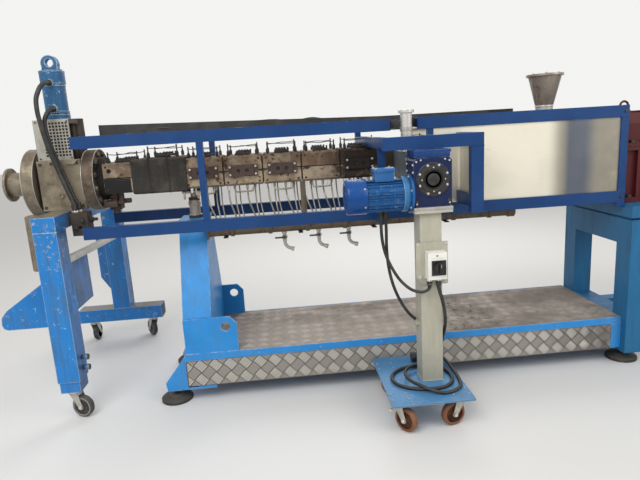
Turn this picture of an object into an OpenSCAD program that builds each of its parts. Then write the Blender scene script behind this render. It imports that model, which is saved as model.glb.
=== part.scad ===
// Twin-screw plastic extruder. A heated barrel lies between a drive unit and a die head on its
// own wheeled stand. A side feeder, driven from a wheeled dolly, enters the barrel at the front.
// X runs along the barrel towards the drive, -Y is the operator's side and Z is up.
// Lengths along X are set from the left end of the deck, and across Y from the barrel's axis.

/* [Base and deck] */
// Length of the deck
deck_len = 2600; // [2500:10:2800]
// Width of the deck
deck_w = 670; // [640:5:720]
// Height of the deck's upper face
deck_top = 294; // [280:1:330]
// Height of the lower edge of the skirt plates
skirt_low = 100; // [90:2:130]
// Height of the edge bars that frame the deck
edge_h = 40; // [34:1:60]
// Thickness of the deck and skirt plates
plate_t = 5; // [4:0.5:8]
// Diameter of a levelling pad
pad_d = 180; // [120:5:200]
// Height of a levelling pad
pad_h = 36; // [30:1:50]
// Reach of the foot gusset beyond the deck's left end
foot_reach = 125; // [110:5:160]
// Number of cross members below the deck
cross_members = 6; // [4:1:8]

/* [Pedestal and jack] */
// Width of the pedestal along the barrel
pedestal_w = 160; // [120:5:200]
// Height of the pedestal's top
pedestal_top = 1030; // [990:5:1060]
// Depth of the pedestal at its top
pedestal_top_d = 220; // [180:5:300]
// Height at which the pedestal starts to slope inwards
pedestal_knee = 500; // [420:5:600]
// Reach of the lug plates along the deck
lug_reach = 300; // [260:5:360]
// Diameter of the lug eyes
lug_eye_d = 54; // [30:1:70]
// Thickness of the lug plates
lug_t = 15; // [10:1:25]
// Diameter of the jack's body
jack_d = 66; // [50:1:90]

/* [Barrel] */
// Height of the barrel's axis
axis_h = 1300; // [1290:1:1320]
// Length of one barrel section
section_len = 225; // [215:1:232]
// Number of heated barrel sections
sections = 11; // [10:1:11]
// Width of the barrel block
core_w = 196; // [160:2:210]
// Height of the barrel block
core_h = 120; // [100:2:130]
// Width over the heater shells
shell_w = 250; // [230:2:270]
// Height over the heater shells
shell_h = 172; // [160:2:190]
// Length of a terminal cover
cover_len = 168; // [140:2:190]
// Height of a terminal cover
cover_h = 66; // [50:1:80]
// Length of the insulation wrap
wrap_len = 320; // [300:5:360]
// Thickness of the insulation wrap
wrap_t = 16; // [10:1:24]
// Distance of the main feed inlet from the deck's left end
feed_x = 2255; // [2220:5:2270]
// Outer diameter of the feed cone's top
hopper_d = 190; // [160:5:240]

/* [Die head] */
// Radius of the large adapter flange
flange_r = 174; // [160:1:190]
// Radius of the disc at the head's free end
disc_r = 194; // [176:1:200]
// Length of the head's body
head_len = 234; // [220:2:260]
// Depth of the head's body
head_w = 300; // [260:5:320]
// Height of the head's body
head_h = 270; // [240:5:280]
// Radius of the outlet ring
ring_r = 96; // [90:1:120]
// Radius of the outlet bore
outlet_r = 36; // [25:1:45]
// Height of the perforated cover
vent_h = 222; // [180:2:260]
// Diameter of the actuator's body
actuator_d = 130; // [120:5:170]
// Height of the actuator's body
actuator_h = 262; // [220:2:300]

/* [Head stand] */
// Width of the stand's square legs
leg_w = 120; // [110:5:150]
// Height of the stand's top beam
stand_top = 1142; // [1130:1:1160]
// Distance of the front leg's face from the barrel's axis
leg_front = 425; // [340:5:440]
// Distance of the rear leg's front face from the barrel's axis
leg_rear = 745; // [700:5:800]
// Length of the stand's floor beam
floor_beam_len = 615; // [540:5:700]
// Reach of the side arm from the front leg
arm_reach = 287; // [250:1:340]

/* [Guard] */
// Distance of the guard's outer faces from the barrel's axis
guard_y = 305; // [290:5:320]
// Height of the guard's upper edge
guard_top = 1540; // [1530:2:1560]
// Height of the guard's lower edge
guard_low = 990; // [980:2:1000]
// Width of the guard's tubes
rail_w = 65; // [50:1:70]
// Depth of the guard's tubes
rail_d = 40; // [30:1:50]
// Start of the guard, left of the deck
guard_start = 468; // [440:4:500]
// Reach of the bump-out from the barrel's axis
bump_y = 605; // [580:5:640]
// Height of the bump-out's upper edge
bump_top = 1445; // [1440:1:1450]

/* [Cooling] */
// Diameter of the cooling manifold
manifold_d = 60; // [40:1:76]
// Length of the cooling manifold
manifold_len = 1810; // [1700:10:1900]
// Height of the manifold's axis
manifold_h = 955; // [940:1:965]

/* [Side feeder] */
// Distance of the side feeder's axis from the deck's left end
feeder_x = 1350; // [1340:1:1360]
// Height of the worm gearbox's output axis
output_h = 1235; // [1230:1:1240]
// Distance between the gearbox's output and input axes
centre_dist = 70; // [60:1:90]
// Width of the worm gearbox
gearbox_w = 190; // [170:2:200]
// Height of the worm gearbox
gearbox_h = 240; // [230:2:250]
// Depth of the worm gearbox
gearbox_d = 150; // [130:2:170]
// Distance of the gearbox's front face from the barrel's axis
gearbox_front = 695; // [690:1:700]
// Diameter of the feeder motor
motor_d = 176; // [150:2:190]
// Length of the feeder motor
motor_len = 334; // [300:2:360]
// Width of the square post
post_w = 110; // [100:2:120]

/* [Dolly and casters] */
// Length of the dolly plate along the barrel
dolly_len = 415; // [400:5:440]
// Depth of the dolly plate
dolly_d = 550; // [540:5:555]
// Height of the dolly plate's upper face
dolly_top = 170; // [168:1:180]
// Thickness of the dolly plate
dolly_t = 12; // [8:1:14]
// Diameter of a caster wheel
wheel_d = 125; // [110:1:125]
// Width of a caster wheel
wheel_w = 34; // [28:1:36]
// Distance of a caster's wheel axis behind its swivel axis
caster_trail = 38; // [30:1:40]
// Diameter of a caster's axle
axle_d = 12; // [8:1:14]

/* [Drive unit] */
// Length of the gear unit
gear_len = 640; // [560:10:720]
// Width of the gear unit
gear_w = 410; // [380:10:440]
// Height of the gear unit's top
gear_top = 1495; // [1480:5:1520]
// Length of the main motor
drive_motor_len = 700; // [640:10:760]
// Diameter of the main motor
drive_motor_d = 470; // [420:10:500]
// Depth of the drive frame's portals along the barrel
portal_d = 120; // [100:5:140]
// Width of the portals' legs
portal_leg = 130; // [120:5:180]
// Height of the portals' upper edge
portal_top = 890; // [880:5:900]

/* [Hidden] */
$fn = 48;

// Clearance between pieces that are bolted together but modelled apart
seat_gap = 0.3;
// Radial clearance of a wheel on its axle
running_gap = 0.05;

deck_y = deck_w / 2;
skirt_end = deck_len - 60;
pedestal_x0 = 7;
pedestal_x1 = pedestal_x0 + pedestal_w;
jack_x = pedestal_x0 + pedestal_w / 2 + 6;

barrel_x0 = -382.5;
feed_x0 = barrel_x0 + sections * section_len;
gear_x0 = deck_len + 50;
feed_x1 = gear_x0 - 230;
shell_bottom = axis_h - shell_h / 2;
shell_top = axis_h + shell_h / 2;
shell_y = shell_w / 2;

flange_t = 62;
flange_x0 = barrel_x0 - 101.5;
body_x0 = flange_x0 - head_len;
cover_x0 = -712;
cover_x1 = -522;
disc_t = 63;
disc_x0 = body_x0 - 18 - disc_t;
chute_x = -795;
chute_r = 96;
chute_low = 785;
ring_t = 12;
ring_x0 = disc_x0 - 144;
head_axis = axis_h - 8;
head_top = head_axis + head_h / 2 - 7;
actuator_x = -600;
actuator_y = -50;
eye_r = 22;
yoke_y = head_w / 2 - 23.3;

leg_x = -617;
leg_x0 = leg_x - leg_w / 2;
leg_x1 = leg_x + leg_w / 2;
rear_x = -650;
beam_x = -667;
floor_beam_h = 98;
floor_beam_z0 = 165;
leg_d = 126;
rear_d = 120;

rail_low_top = guard_low + rail_w;
rail_top_low = guard_top - rail_w;
guard_x0 = -guard_start;
guard_x1 = deck_len - 0.3;
right_post = 44;
panel_x0 = 1470;
bar_x0 = 178;
bar_w = 35;
gap_x0 = feeder_x - 120;
gap_x1 = feeder_x + 32;
duct_knee = 1290;
duct_x1 = 2180;
bump_x0 = feeder_x - 227;
bump_x1 = feeder_x + 288;

inlet_top = guard_top + 40;

worm_h = output_h - centre_dist;
gearbox_x0 = feeder_x - gearbox_w / 2;
gearbox_x1 = feeder_x + gearbox_w / 2;
gearbox_low = output_h - 135;
gearbox_back = gearbox_front - gearbox_d;
post_x = feeder_x - 12;
post_y = gearbox_front - gearbox_d / 2;
head_plate_t = 30;
switch_y = post_y + post_w / 2;
switch_x = feeder_x + 4;
knob_x = switch_x + 8;
knob_h = 800;

dolly_x0 = feeder_x - 277;
dolly_front = deck_y + plate_t + 5 + dolly_d;
dolly_back = dolly_front - dolly_d;
wheel_r = wheel_d / 2;
fork_top = dolly_top - dolly_t - 8;
caster_inset = 55;

bed_h = 80;
bed_top = portal_top + bed_h;
motor_x0 = gear_x0 + gear_len + 190;
motor_x1 = motor_x0 + drive_motor_len;
portal_x2 = motor_x1 - 260;
portal_y0 = -385;
portal_y1 = 315;

// The origin lies on the floor below the middle of the whole machine.
x_left = beam_x - floor_beam_len / 2;
x_right = motor_x1;
y_front = -dolly_front;
y_back = leg_rear + rear_d / 2 + caster_trail + wheel_r;
origin_x = (x_left + x_right) / 2;
origin_y = (y_front + y_back) / 2;

// Casters: swivel axis and the direction in which the wheel trails, in degrees from +X
dolly_casters = [
    [dolly_x0 + caster_inset, -dolly_front + 85, -50],
    [dolly_x0 + dolly_len - caster_inset, -dolly_front + 85, 195],
    [dolly_x0 + caster_inset, -dolly_back - 106, -30],
    [dolly_x0 + dolly_len - caster_inset, -dolly_back - 106, 60]];
stand_casters = [
    [leg_x, -leg_front + leg_d / 2, -18],
    [beam_x + floor_beam_len / 2 - 85, leg_rear + rear_d / 2, 125],
    [beam_x - floor_beam_len / 2 + 85, leg_rear + rear_d / 2, 90]];
stand_fork_top = floor_beam_z0 - 8;

// Routes of the leads, along points chosen by hand
cable_d = 16;
supply_d = 18;
hose_d = 24;
motor_lead = [[1100, -620, 1068], [1100, -620, 1000], [1104, -622, 930], [1118, -630, 860],
    [1146, -645, 790], [1182, -665, 730], [1228, -690, 688], [1276, -704, 674],
    [1308, -710, 684], [1318, -711, 700], [1318, -711, 716]];
clamp_lead = [[1124, -620, 1068], [1126, -618, 990], [1126, -614, 890], [1134, -610, 790],
    [1156, -608, 690], [1192, -608, 600], [1234, -609, 532], [1268, -610, 498]];
supply_lead = [[1364, -711, 716], [1364, -711, 698], [1370, -711, 670], [1384, -709, 620],
    [1397, -700, 560], [1406, -680, 490], [1409, -642, 420], [1408, -596, 350], [1404, -552, 270],
    [1390, -516, 208], [1350, -500, 184], [1280, -500, 181], [1210, -520, 180],
    [1150, -570, 180], [1128, -640, 180], [1150, -708, 180], [1210, -756, 180],
    [1290, -778, 180], [1370, -768, 180], [1424, -724, 180], [1444, -655, 180],
    [1438, -585, 180], [1410, -538, 181], [1345, -519, 190], [1270, -534, 199],
    [1218, -582, 200], [1200, -652, 200], [1216, -720, 200], [1250, -774, 200],
    [1296, -812, 190], [1350, -828, 180], [1408, -814, 180], [1455, -770, 180],
    [1472, -690, 180], [1476, -610, 181], [1474, -540, 185], [1464, -484, 192],
    [1446, -444, 197], [1420, -430, 198.5], [1400, -430, 198.5]];
hose_a = [[-595, -122, 1836], [-595, -140, 1836], [-602, -168, 1830], [-613, -192, 1812],
    [-623, -210, 1784], [-635, -220, 1744], [-636, -226, 1678], [-630, -226, 1623],
    [-622, -224, 1553], [-608, -220, 1474], [-589, -217, 1401], [-569, -216, 1328],
    [-546, -219, 1253], [-529, -222, 1200], [-520, -224, 1166], [-520, -224, 1148]];
hose_b = [[-592, -122, 1698], [-592, -138, 1698], [-600, -160, 1690], [-611, -177, 1668],
    [-624, -186, 1630], [-622, -189, 1574], [-613, -188, 1509], [-597, -186, 1443],
    [-579, -184, 1377], [-559, -185, 1310], [-537, -190, 1242], [-520, -193, 1192],
    [-509, -194, 1164], [-509, -194, 1148]];

module placed() {
    translate([-origin_x, -origin_y, 0]) children();
}

module box(x0, x1, y0, y1, z0, z1) {
    translate([x0, y0, z0]) cube([x1 - x0, y1 - y0, z1 - z0]);
}

module both_sides() {
    children();
    mirror([0, 1, 0]) children();
}

module rod_x(x0, x1, y, z, r) {
    translate([x0, y, z]) rotate([0, 90, 0]) cylinder(h = x1 - x0, r = r);
}

module rod_y(y0, y1, x, z, r) {
    translate([x, y0, z]) rotate([-90, 0, 0]) cylinder(h = y1 - y0, r = r);
}

module rod_z(z0, z1, x, y, r) {
    translate([x, y, z0]) cylinder(h = z1 - z0, r = r);
}

// Round bar between two points
module strut(a, b, r) {
    d = b - a;
    translate(a) rotate([0, acos(d[2] / norm(d)), atan2(d[1], d[0])]) cylinder(h = norm(d), r = r);
}

// A profile drawn in Y and Z, swept along X
module along_x(x0, x1) {
    translate([x0, 0, 0]) rotate([90, 0, 90]) linear_extrude(x1 - x0) children();
}

// A profile drawn in X and Z, swept along Y
module along_y(y0, y1) {
    translate([0, y1, 0]) rotate([90, 0, 0]) linear_extrude(y1 - y0) children();
}

// Sweep of a round section along a route
function unit(v) = v / norm(v);
function tangent(p, i) = unit(p[min(i + 1, len(p) - 1)] - p[max(i - 1, 0)]);
function side_of(t) = unit(cross(t, abs(t[2]) > 0.9 ? [0, 1, 0] : [0, 0, 1]));
function carried(p, i) = i == 0 ? side_of(tangent(p, 0))
    : let (s = carried(p, i - 1), t = tangent(p, i)) unit(s - (s * t) * t);
function ring(p, i, r, n) = let (t = tangent(p, i), s = carried(p, i), u = cross(t, s))
    [for (k = [0 : n - 1]) p[i] + r * (cos(360 * k / n) * s + sin(360 * k / n) * u)];
module lead(p, d, n = 8) {
    m = len(p);
    points = [for (i = [0 : m - 1]) each ring(p, i, d / 2, n)];
    walls = [for (i = [0 : m - 2]) for (k = [0 : n - 1])
        [i * n + k, i * n + (k + 1) % n, (i + 1) * n + (k + 1) % n, (i + 1) * n + k]];
    polyhedron(points, concat([[for (k = [n - 1 : -1 : 0]) k]],
        walls, [[for (k = [0 : n - 1]) (m - 1) * n + k]]), convexity = 8);
}

module base_frame() {
    placed() color("royalblue") {
        both_sides() {
            // Side channel, open towards the middle
            y1 = deck_y - plate_t;
            top = deck_top - plate_t;
            x1 = deck_len - seat_gap;
            box(0, x1, y1 - 8, y1, skirt_low, top);
            box(0, x1, y1 - 60, y1 - 8 - seat_gap, skirt_low, skirt_low + 8);
            box(0, x1, y1 - 60, y1 - 8 - seat_gap, top - 8, top);
            foot_gusset();
            box(skirt_end + seat_gap, x1, -deck_y - plate_t, -y1 - seat_gap, skirt_low,
                deck_top - edge_h - seat_gap);
        }
        // Cross members
        for (i = [0 : cross_members - 1]) {
            x = i * (deck_len - seat_gap - 60) / (cross_members - 1);
            w = deck_y - plate_t - 60 - seat_gap;
            box(x, x + 60, -w, w, skirt_low + 20, deck_top - plate_t);
        }
    }
}

module foot_gusset() {
    low = skirt_low - 22;
    along_y(-deck_y, -deck_y + 12) polygon([[-seat_gap, deck_top - 7], [-foot_reach, skirt_low + 27],
        [-foot_reach + 5, low + 12 + seat_gap], [-seat_gap, low + 12 + seat_gap]]);
    box(-8, -seat_gap, -deck_y + 12 + seat_gap, -deck_y + 70, low + 12 + seat_gap, deck_top - 7);
    box(-foot_reach + 5, 60, -deck_y, -deck_y + 150, low, low + 12);
    box(60 + seat_gap, 162, -deck_y, -deck_y + 12, low, skirt_low - seat_gap);
}

module levelling_pads() {
    placed() color("dimgray") both_sides() {
        for (x = [-83, portal_x2 + portal_d / 2, deck_len + portal_d / 2])
            translate([x, -deck_y + 66, 0]) rotate_extrude() polygon([[0, 0], [pad_d / 2, 0],
                [pad_d / 2, pad_h * 0.4], [pad_d / 2 - 8, pad_h * 0.6], [40, pad_h], [12, pad_h],
                [12, skirt_low - 22 - seat_gap], [0, skirt_low - 22 - seat_gap]]);
    }
}

module deck_plate() {
    placed() color("gray") box(0, deck_len - seat_gap, -deck_y + seat_gap, deck_y - seat_gap,
        deck_top - plate_t, deck_top);
}

module deck_edges() {
    placed() color("dodgerblue") both_sides()
        box(0, deck_len - 1, -deck_y - 6, -deck_y - seat_gap, deck_top - edge_h, deck_top + 1);
}

module skirt_plates() {
    placed() color("silver") both_sides()
        box(2, skirt_end, -deck_y - plate_t, -deck_y + plate_t - seat_gap, skirt_low,
            deck_top - edge_h - seat_gap);
}

module barrel_pedestal() {
    placed() color("dodgerblue") {
        along_x(pedestal_x0, pedestal_x1) polygon([[-deck_y + lug_t, deck_top],
            [-deck_y + lug_t, pedestal_knee], [-pedestal_top_d / 2, pedestal_top - 12],
            [pedestal_top_d / 2, pedestal_top - 12], [deck_y - lug_t, pedestal_knee],
            [deck_y - lug_t, deck_top]]);
        box(pedestal_x0 - 6, pedestal_x1 + 6, -pedestal_top_d / 2 - 6, pedestal_top_d / 2 + 6,
            pedestal_top - 12, pedestal_top);
    }
}

module pedestal_lugs() {
    placed() color("dodgerblue") both_sides() difference() {
        along_y(-deck_y, -deck_y + lug_t - seat_gap) polygon([[pedestal_x0, deck_top],
            [pedestal_x0 + lug_reach, deck_top], [pedestal_x0 + lug_reach, pedestal_knee - 42],
            [pedestal_x0 + lug_reach - 38, pedestal_knee], [pedestal_x0, pedestal_knee]]);
        rod_y(-deck_y - 1, -deck_y + lug_t + 1, pedestal_x0 + lug_reach - 64,
            pedestal_knee - 58, lug_eye_d / 2);
    }
}

module barrel_jack() {
    placed() color("dimgray") {
        rod_z(pedestal_top, pedestal_top + 16, jack_x, 0, jack_d * 0.62);
        top = shell_bottom - wrap_t - seat_gap;
        rod_z(pedestal_top + 16, top - 46, jack_x, 0, jack_d / 2);
        rod_z(top - 46, top - 14, jack_x, 0, jack_d * 0.3);
        box(jack_x - 52, jack_x + 52, -80, 80, top - 14, top);
    }
}

module portal(x) {
    along_x(x, x + portal_d) difference() {
        polygon([[portal_y0, skirt_low - 22], [portal_y1, skirt_low - 22],
            [portal_y1, portal_top], [portal_y0, portal_top]]);
        translate([portal_y0 + portal_leg, deck_top]) square([portal_y1 - portal_y0
            - 2 * portal_leg, portal_top - 150 - deck_top]);
    }
}

module drive_frame() {
    placed() color("deepskyblue") {
        portal(deck_len);
        portal(portal_x2);
        both_sides() box(deck_len + portal_d - 0.1, portal_x2 + 0.1, -deck_y + 40,
            -deck_y + 120, skirt_low, skirt_low + 110);
        // Bed plate on two strips
        box(deck_len, motor_x1 - 20, portal_y0 + 5, portal_y1 - 5, portal_top + 12 + seat_gap,
            bed_top);
        for (x = [deck_len + portal_d / 2, portal_x2 + portal_d / 2])
            box(x - 50, x + 50, portal_y0 + 30, portal_y1 - 30, portal_top + seat_gap,
                portal_top + 12);
    }
}

module gear_unit() {
    placed() color("maroon") {
        w = gear_w / 2;
        x1 = gear_x0 + gear_len;
        low = bed_top + 30 + seat_gap;
        // Housing in two halves, bolted along the flange at the shaft height
        along_x(gear_x0, x1) polygon([[-w, low], [w, low], [w, gear_top - 60],
            [w - 60, gear_top], [-w + 60, gear_top], [-w, gear_top - 60]]);
        box(gear_x0, x1 + 20, -w - 35, w + 35, bed_top, bed_top + 30);
        both_sides() {
            box(gear_x0, x1, w + seat_gap, w + 25, axis_h - 22, axis_h + 22);
            for (i = [0 : 3])
                box(gear_x0 + 70 + i * (gear_len - 160) / 3, gear_x0 + 88
                    + i * (gear_len - 160) / 3, w + seat_gap, w + 24, low, axis_h - 22 - seat_gap);
        }
        rod_x(x1 + seat_gap, x1 + 40, 0, axis_h, 110);
    }
}

module coupling_guard() {
    placed() color("gold") along_x(gear_x0 + gear_len + 40 + seat_gap, motor_x0 - seat_gap) {
        translate([0, axis_h]) circle(r = 125);
        translate([-125, bed_top]) square([250, axis_h - bed_top]);
    }
}

module main_motor() {
    placed() color("slategray") {
        r = drive_motor_d / 2;
        rod_x(motor_x0, motor_x0 + 40, 0, axis_h, r);
        // Ribbed housing, and the fan cowl behind it
        along_x(motor_x0 + 40 + seat_gap, motor_x1 - 150) translate([0, axis_h]) {
            circle(r = r - 10);
            for (a = [0 : 15 : 345]) rotate(a) translate([-5, r - 14]) square([10, 10]);
        }
        rod_x(motor_x1 - 150 + seat_gap, motor_x1 - 20, 0, axis_h, r - 2);
        rod_x(motor_x1 - 20 + seat_gap, motor_x1, 0, axis_h, r - 40);
        both_sides() along_x(motor_x0 + 60, motor_x1 - 200) polygon([[110, bed_top],
            [230, bed_top], [230, axis_h - 96], [110, axis_h - 218]]);
        along_x(motor_x0 + 150, motor_x0 + 400) polygon([[-120, axis_h + r + 90],
            [-120, axis_h + r - 25], [-60, axis_h + r - 3.7], [60, axis_h + r - 3.7],
            [120, axis_h + r - 25], [120, axis_h + r + 90]]);
    }
}

function section_x(k) = barrel_x0 + k * section_len;
heated = [0, 1, 2, 3, 4, 5, 6, 8, 9, 10];

module barrel() {
    placed() color("dimgray") {
        w = core_w / 2 + 12;
        h = core_h / 2 + 12;
        for (k = [0 : sections - 1]) {
            x = section_x(k);
            if (k == 7) {
                box(x, x + 18, -w, w, axis_h - h, axis_h + h);
                box(x + 18 + seat_gap, x + section_len - 18 - seat_gap, -core_w / 2, core_w / 2,
                    axis_h - core_h / 2, axis_h + core_h / 2);
                box(x + section_len - 18, x + section_len - seat_gap, -w, w, axis_h - h, axis_h + h);
            } else
                box(x, x + section_len - seat_gap, -w, w, axis_h - h, axis_h + h);
        }
        // Adapter ring to the die head
        rod_x(flange_x0 + flange_t + seat_gap, barrel_x0 - seat_gap, 0, head_axis, 118);
        // Feed section with its throat, then the open lantern up to the gear unit
        difference() {
            box(feed_x0, feed_x1 - seat_gap, -w, w, axis_h - h, axis_h + core_h / 2 + 30);
            rod_z(axis_h - 20, axis_h + core_h, feed_x, 0, 45);
        }
        for (x = [feed_x1, gear_x0 - 25 - seat_gap])
            box(x, x + 25, -150, 150, axis_h - 125, axis_h + 125);
        x0 = feed_x1 + 25 + seat_gap;
        x1 = gear_x0 - 25 - 2 * seat_gap;
        for (y = [-105, 105]) for (z = [-85, 85]) rod_x(x0, x1, y, axis_h + z, 22);
        for (y = [-26, 26]) rod_x(x0, x1, y, axis_h, 18);
    }
}

module half_shell(x) {
    y = core_w / 2 + 12.3;
    z = core_h / 2 + 12.3;
    along_x(x + 4, x + section_len - 4) {
        polygon([[-shell_y, z + seat_gap], [shell_y, z + seat_gap], [shell_y, shell_h / 2 - 12],
            [shell_y - 12, shell_h / 2], [-shell_y + 12, shell_h / 2],
            [-shell_y, shell_h / 2 - 12]]);
        for (s = [-shell_y, y]) translate([s, 3]) square([shell_y - y, z - 3]);
    }
}

module heater_shells() {
    placed() color("tan") translate([0, 0, axis_h]) for (k = heated) {
        half_shell(section_x(k));
        mirror([0, 0, 1]) half_shell(section_x(k));
    }
}

covered = [2, 3, 4, 6, 8, 9, 10];
module terminal_cover(x) {
    difference() {
        union() {
            box(x - cover_len / 2, x + cover_len / 2, -shell_y - 14, -shell_y - seat_gap,
                axis_h - cover_h / 2, axis_h + cover_h / 2);
            box(x - cover_len / 2 + 22, x + cover_len / 2 - 22, -shell_y - 20, -shell_y - 13,
                axis_h - cover_h / 2 + 3, axis_h + cover_h / 2 - 3);
        }
        for (s = [-24, 24])
            rod_y(-shell_y - 21, -shell_y - 8, x + s, axis_h, 11);
    }
    for (a = [-1, 1]) for (b = [-1, 1])
        rod_y(-shell_y - 20, -shell_y - 13, x + a * (cover_len / 2 - 11),
            axis_h + b * (cover_h / 2 - 11), 7, $fn = 6);
}

module terminal_covers() {
    placed() color("saddlebrown") both_sides() for (k = covered)
        terminal_cover(section_x(k) + section_len / 2);
}

module insulation_wrap() {
    placed() color("darkslategray") {
        x0 = section_x(1) - 70;
        translate([0, 0, axis_h]) along_x(x0, x0 + wrap_len) difference() {
            offset(r = 14) square([shell_w + 2 * wrap_t - 28, shell_h + 2 * wrap_t - 28],
                center = true);
            square([shell_w + 1, shell_h + 1], center = true);
        }
    }
}

module feed_pipe() {
    placed() color("silver") translate([feed_x, 0, 0]) difference() {
        union() {
            rod_z(axis_h + core_h / 2 + 30 + seat_gap, axis_h + core_h / 2 + 44, 0, 0, 90);
            rod_z(axis_h + core_h / 2 + 43, guard_top + 20, 0, 0, 50);
        }
        rod_z(axis_h + core_h / 2, guard_top + 21, 0, 0, 44);
    }
}

module feed_hopper() {
    placed() color("silver") translate([feed_x, 0, 0])
        rotate_extrude() polygon([[44, guard_top + 20 + seat_gap],
            [50, guard_top + 20 + seat_gap], [hopper_d / 2, guard_top + 200],
            [hopper_d / 2 + 12, guard_top + 200], [hopper_d / 2 + 12, guard_top + 212],
            [hopper_d / 2 - 6, guard_top + 212], [44, guard_top + 24]]);
}

module die_head() {
    placed() color("darkgray") {
        z = head_axis;
        rod_x(flange_x0, flange_x0 + flange_t, 0, z, flange_r);
        box(body_x0, flange_x0 - seat_gap, -head_w / 2, head_w / 2, stand_top + seat_gap, head_top);
        // Stiffening rib on the body's front, up against the large flange
        along_y(-head_w / 2 - 12, -head_w / 2 - seat_gap) polygon([[flange_x0 - 74, z + 104],
            [flange_x0 - 30, z + 104], [flange_x0 - 8, z + 126], [flange_x0 - 20, z + 126]]);
        rod_x(disc_x0 + disc_t + seat_gap, body_x0 - seat_gap, 0, z, 125);
        rod_x(disc_x0, disc_x0 + disc_t, 0, z, disc_r);
    }
}

module head_outlet() {
    placed() color("gray") {
        z = head_axis;
        difference() {
            union() {
                rod_x(ring_x0 + ring_t - 1, disc_x0 - seat_gap, 0, z, 68);
                rod_x(ring_x0, ring_x0 + ring_t, 0, z, ring_r);
            }
            rod_x(ring_x0 - 1, disc_x0 - 20, 0, z, outlet_r);
            for (a = [22.5 : 45 : 360])
                translate([0, 0, z]) rotate([a, 0, 0])
                    rod_x(ring_x0 - 1, ring_x0 + ring_t + 1, 0, 82, 5);
        }
        // Waste chute below the free disc
        difference() {
            rod_z(chute_low, z - disc_r + 40, chute_x, 0, chute_r);
            rod_z(chute_low - 1, z - disc_r - 16, chute_x, 0, chute_r - 6);
            rod_x(disc_x0 - 110, disc_x0 + disc_t + 60, 0, z, disc_r + seat_gap);
        }
    }
}

module perforated_cover() {
    placed() color("lightgray") {
        y = head_w / 2 - 20;
        top = head_top + vent_h;
        box(cover_x0, cover_x1, -y, -y + 3, head_top + seat_gap, top);
        box(cover_x0, cover_x0 + 3, -y + 3 + seat_gap, -y + 60, head_top + seat_gap, top);
    }
}

// Columns, top plate and spindle that carry the actuator, with the drive of the side valve
module actuator_yoke() {
    placed() color("dimgray") {
        low = head_top + seat_gap;
        top = head_top + vent_h;
        box(cover_x0 + 5, cover_x1 - 2, -yoke_y, 22, top - 24, top);
        for (x = [cover_x0 + 30, cover_x1 - 30]) for (y = [-yoke_y + 20, 2])
            rod_z(low, top - 24 - seat_gap, x, y, 13);
        rod_z(low, top - 24 - seat_gap, actuator_x, actuator_y, 26);
        rod_z(low, top + 6, actuator_x + 44, 80, 42);
    }
}

module actuator() {
    placed() color("steelblue") {
        z0 = head_top + vent_h + seat_gap;
        z1 = z0 + actuator_h;
        rod_z(z0, z0 + 26, actuator_x, actuator_y, actuator_d / 2 - 1);
        rod_z(z0 + 25, z1 - 70, actuator_x, actuator_y, actuator_d / 2 - 5);
        rod_z(z1 - 71, z1, actuator_x, actuator_y, actuator_d / 2);
        // Ports for the two hoses
        for (p = [hose_a[0], hose_b[0]])
            rod_y(p[1] + seat_gap, actuator_y, p[0], p[2], 17);
        // Lifting eye
        difference() {
            union() {
                rod_y(actuator_y - 20, actuator_y + 20, actuator_x, z1 + 38, 44);
                box(actuator_x - 42, actuator_x + 42, actuator_y - 20, actuator_y + 20, z1 - 1,
                    z1 + 30);
            }
            rod_y(actuator_y - 30, actuator_y + 30, actuator_x, z1 + 42, eye_r);
        }
    }
}

module actuator_hoses() {
    placed() color("black") {
        lead(hose_a, hose_d);
        lead(hose_b, hose_d);
    }
}

module caster_seat(c, top, upper) {
    translate([c[0] - 45, c[1] - 38, top + 4]) cube([90, 76, upper - top - 3.9]);
    rod_z(top, top + 5, c[0], c[1], 30);
}

// Junction block of the two hoses, on the stand's front leg
module hose_block() {
    placed() color("dimgray") {
        z1 = hose_a[len(hose_a) - 1][2] - seat_gap;
        difference() {
            union() {
                box(leg_x1 + 16, leg_x1 + 104, -252, -168, z1 - 140, z1 - 14);
                box(leg_x1 + seat_gap, leg_x1 + 17, -240, -190, stand_top - 70, stand_top - 12);
            }
            rod_y(-253, -167, leg_x1 + 60, z1 - 94, 9);
        }
        for (route = [hose_a, hose_b])
            rod_z(z1 - 15, z1, route[len(route) - 1][0], route[len(route) - 1][1], 17, $fn = 24);
    }
}

module stand_front_leg() {
    placed() color("dodgerblue") {
        z0 = floor_beam_z0 + 62;
        y = -leg_front;
        box(leg_x0, leg_x1, y, y + leg_d, z0, stand_top - 80 - seat_gap);
        // Foot that slides in the leg, held by two clamp screws
        box(leg_x0 + 6, leg_x1 - 6, y + 6, y + leg_d - 6, floor_beam_z0, z0 - seat_gap);
        for (z = [z0 + 60, z0 + 120]) {
            rod_x(leg_x1 + seat_gap, leg_x1 + 26, y + leg_d / 2, z, 7, $fn = 24);
            rod_x(leg_x1 + 26 + seat_gap, leg_x1 + 36, y + leg_d / 2, z, 17, $fn = 24);
        }
        caster_seat(stand_casters[0], stand_fork_top, floor_beam_z0 - seat_gap);
    }
}

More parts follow.
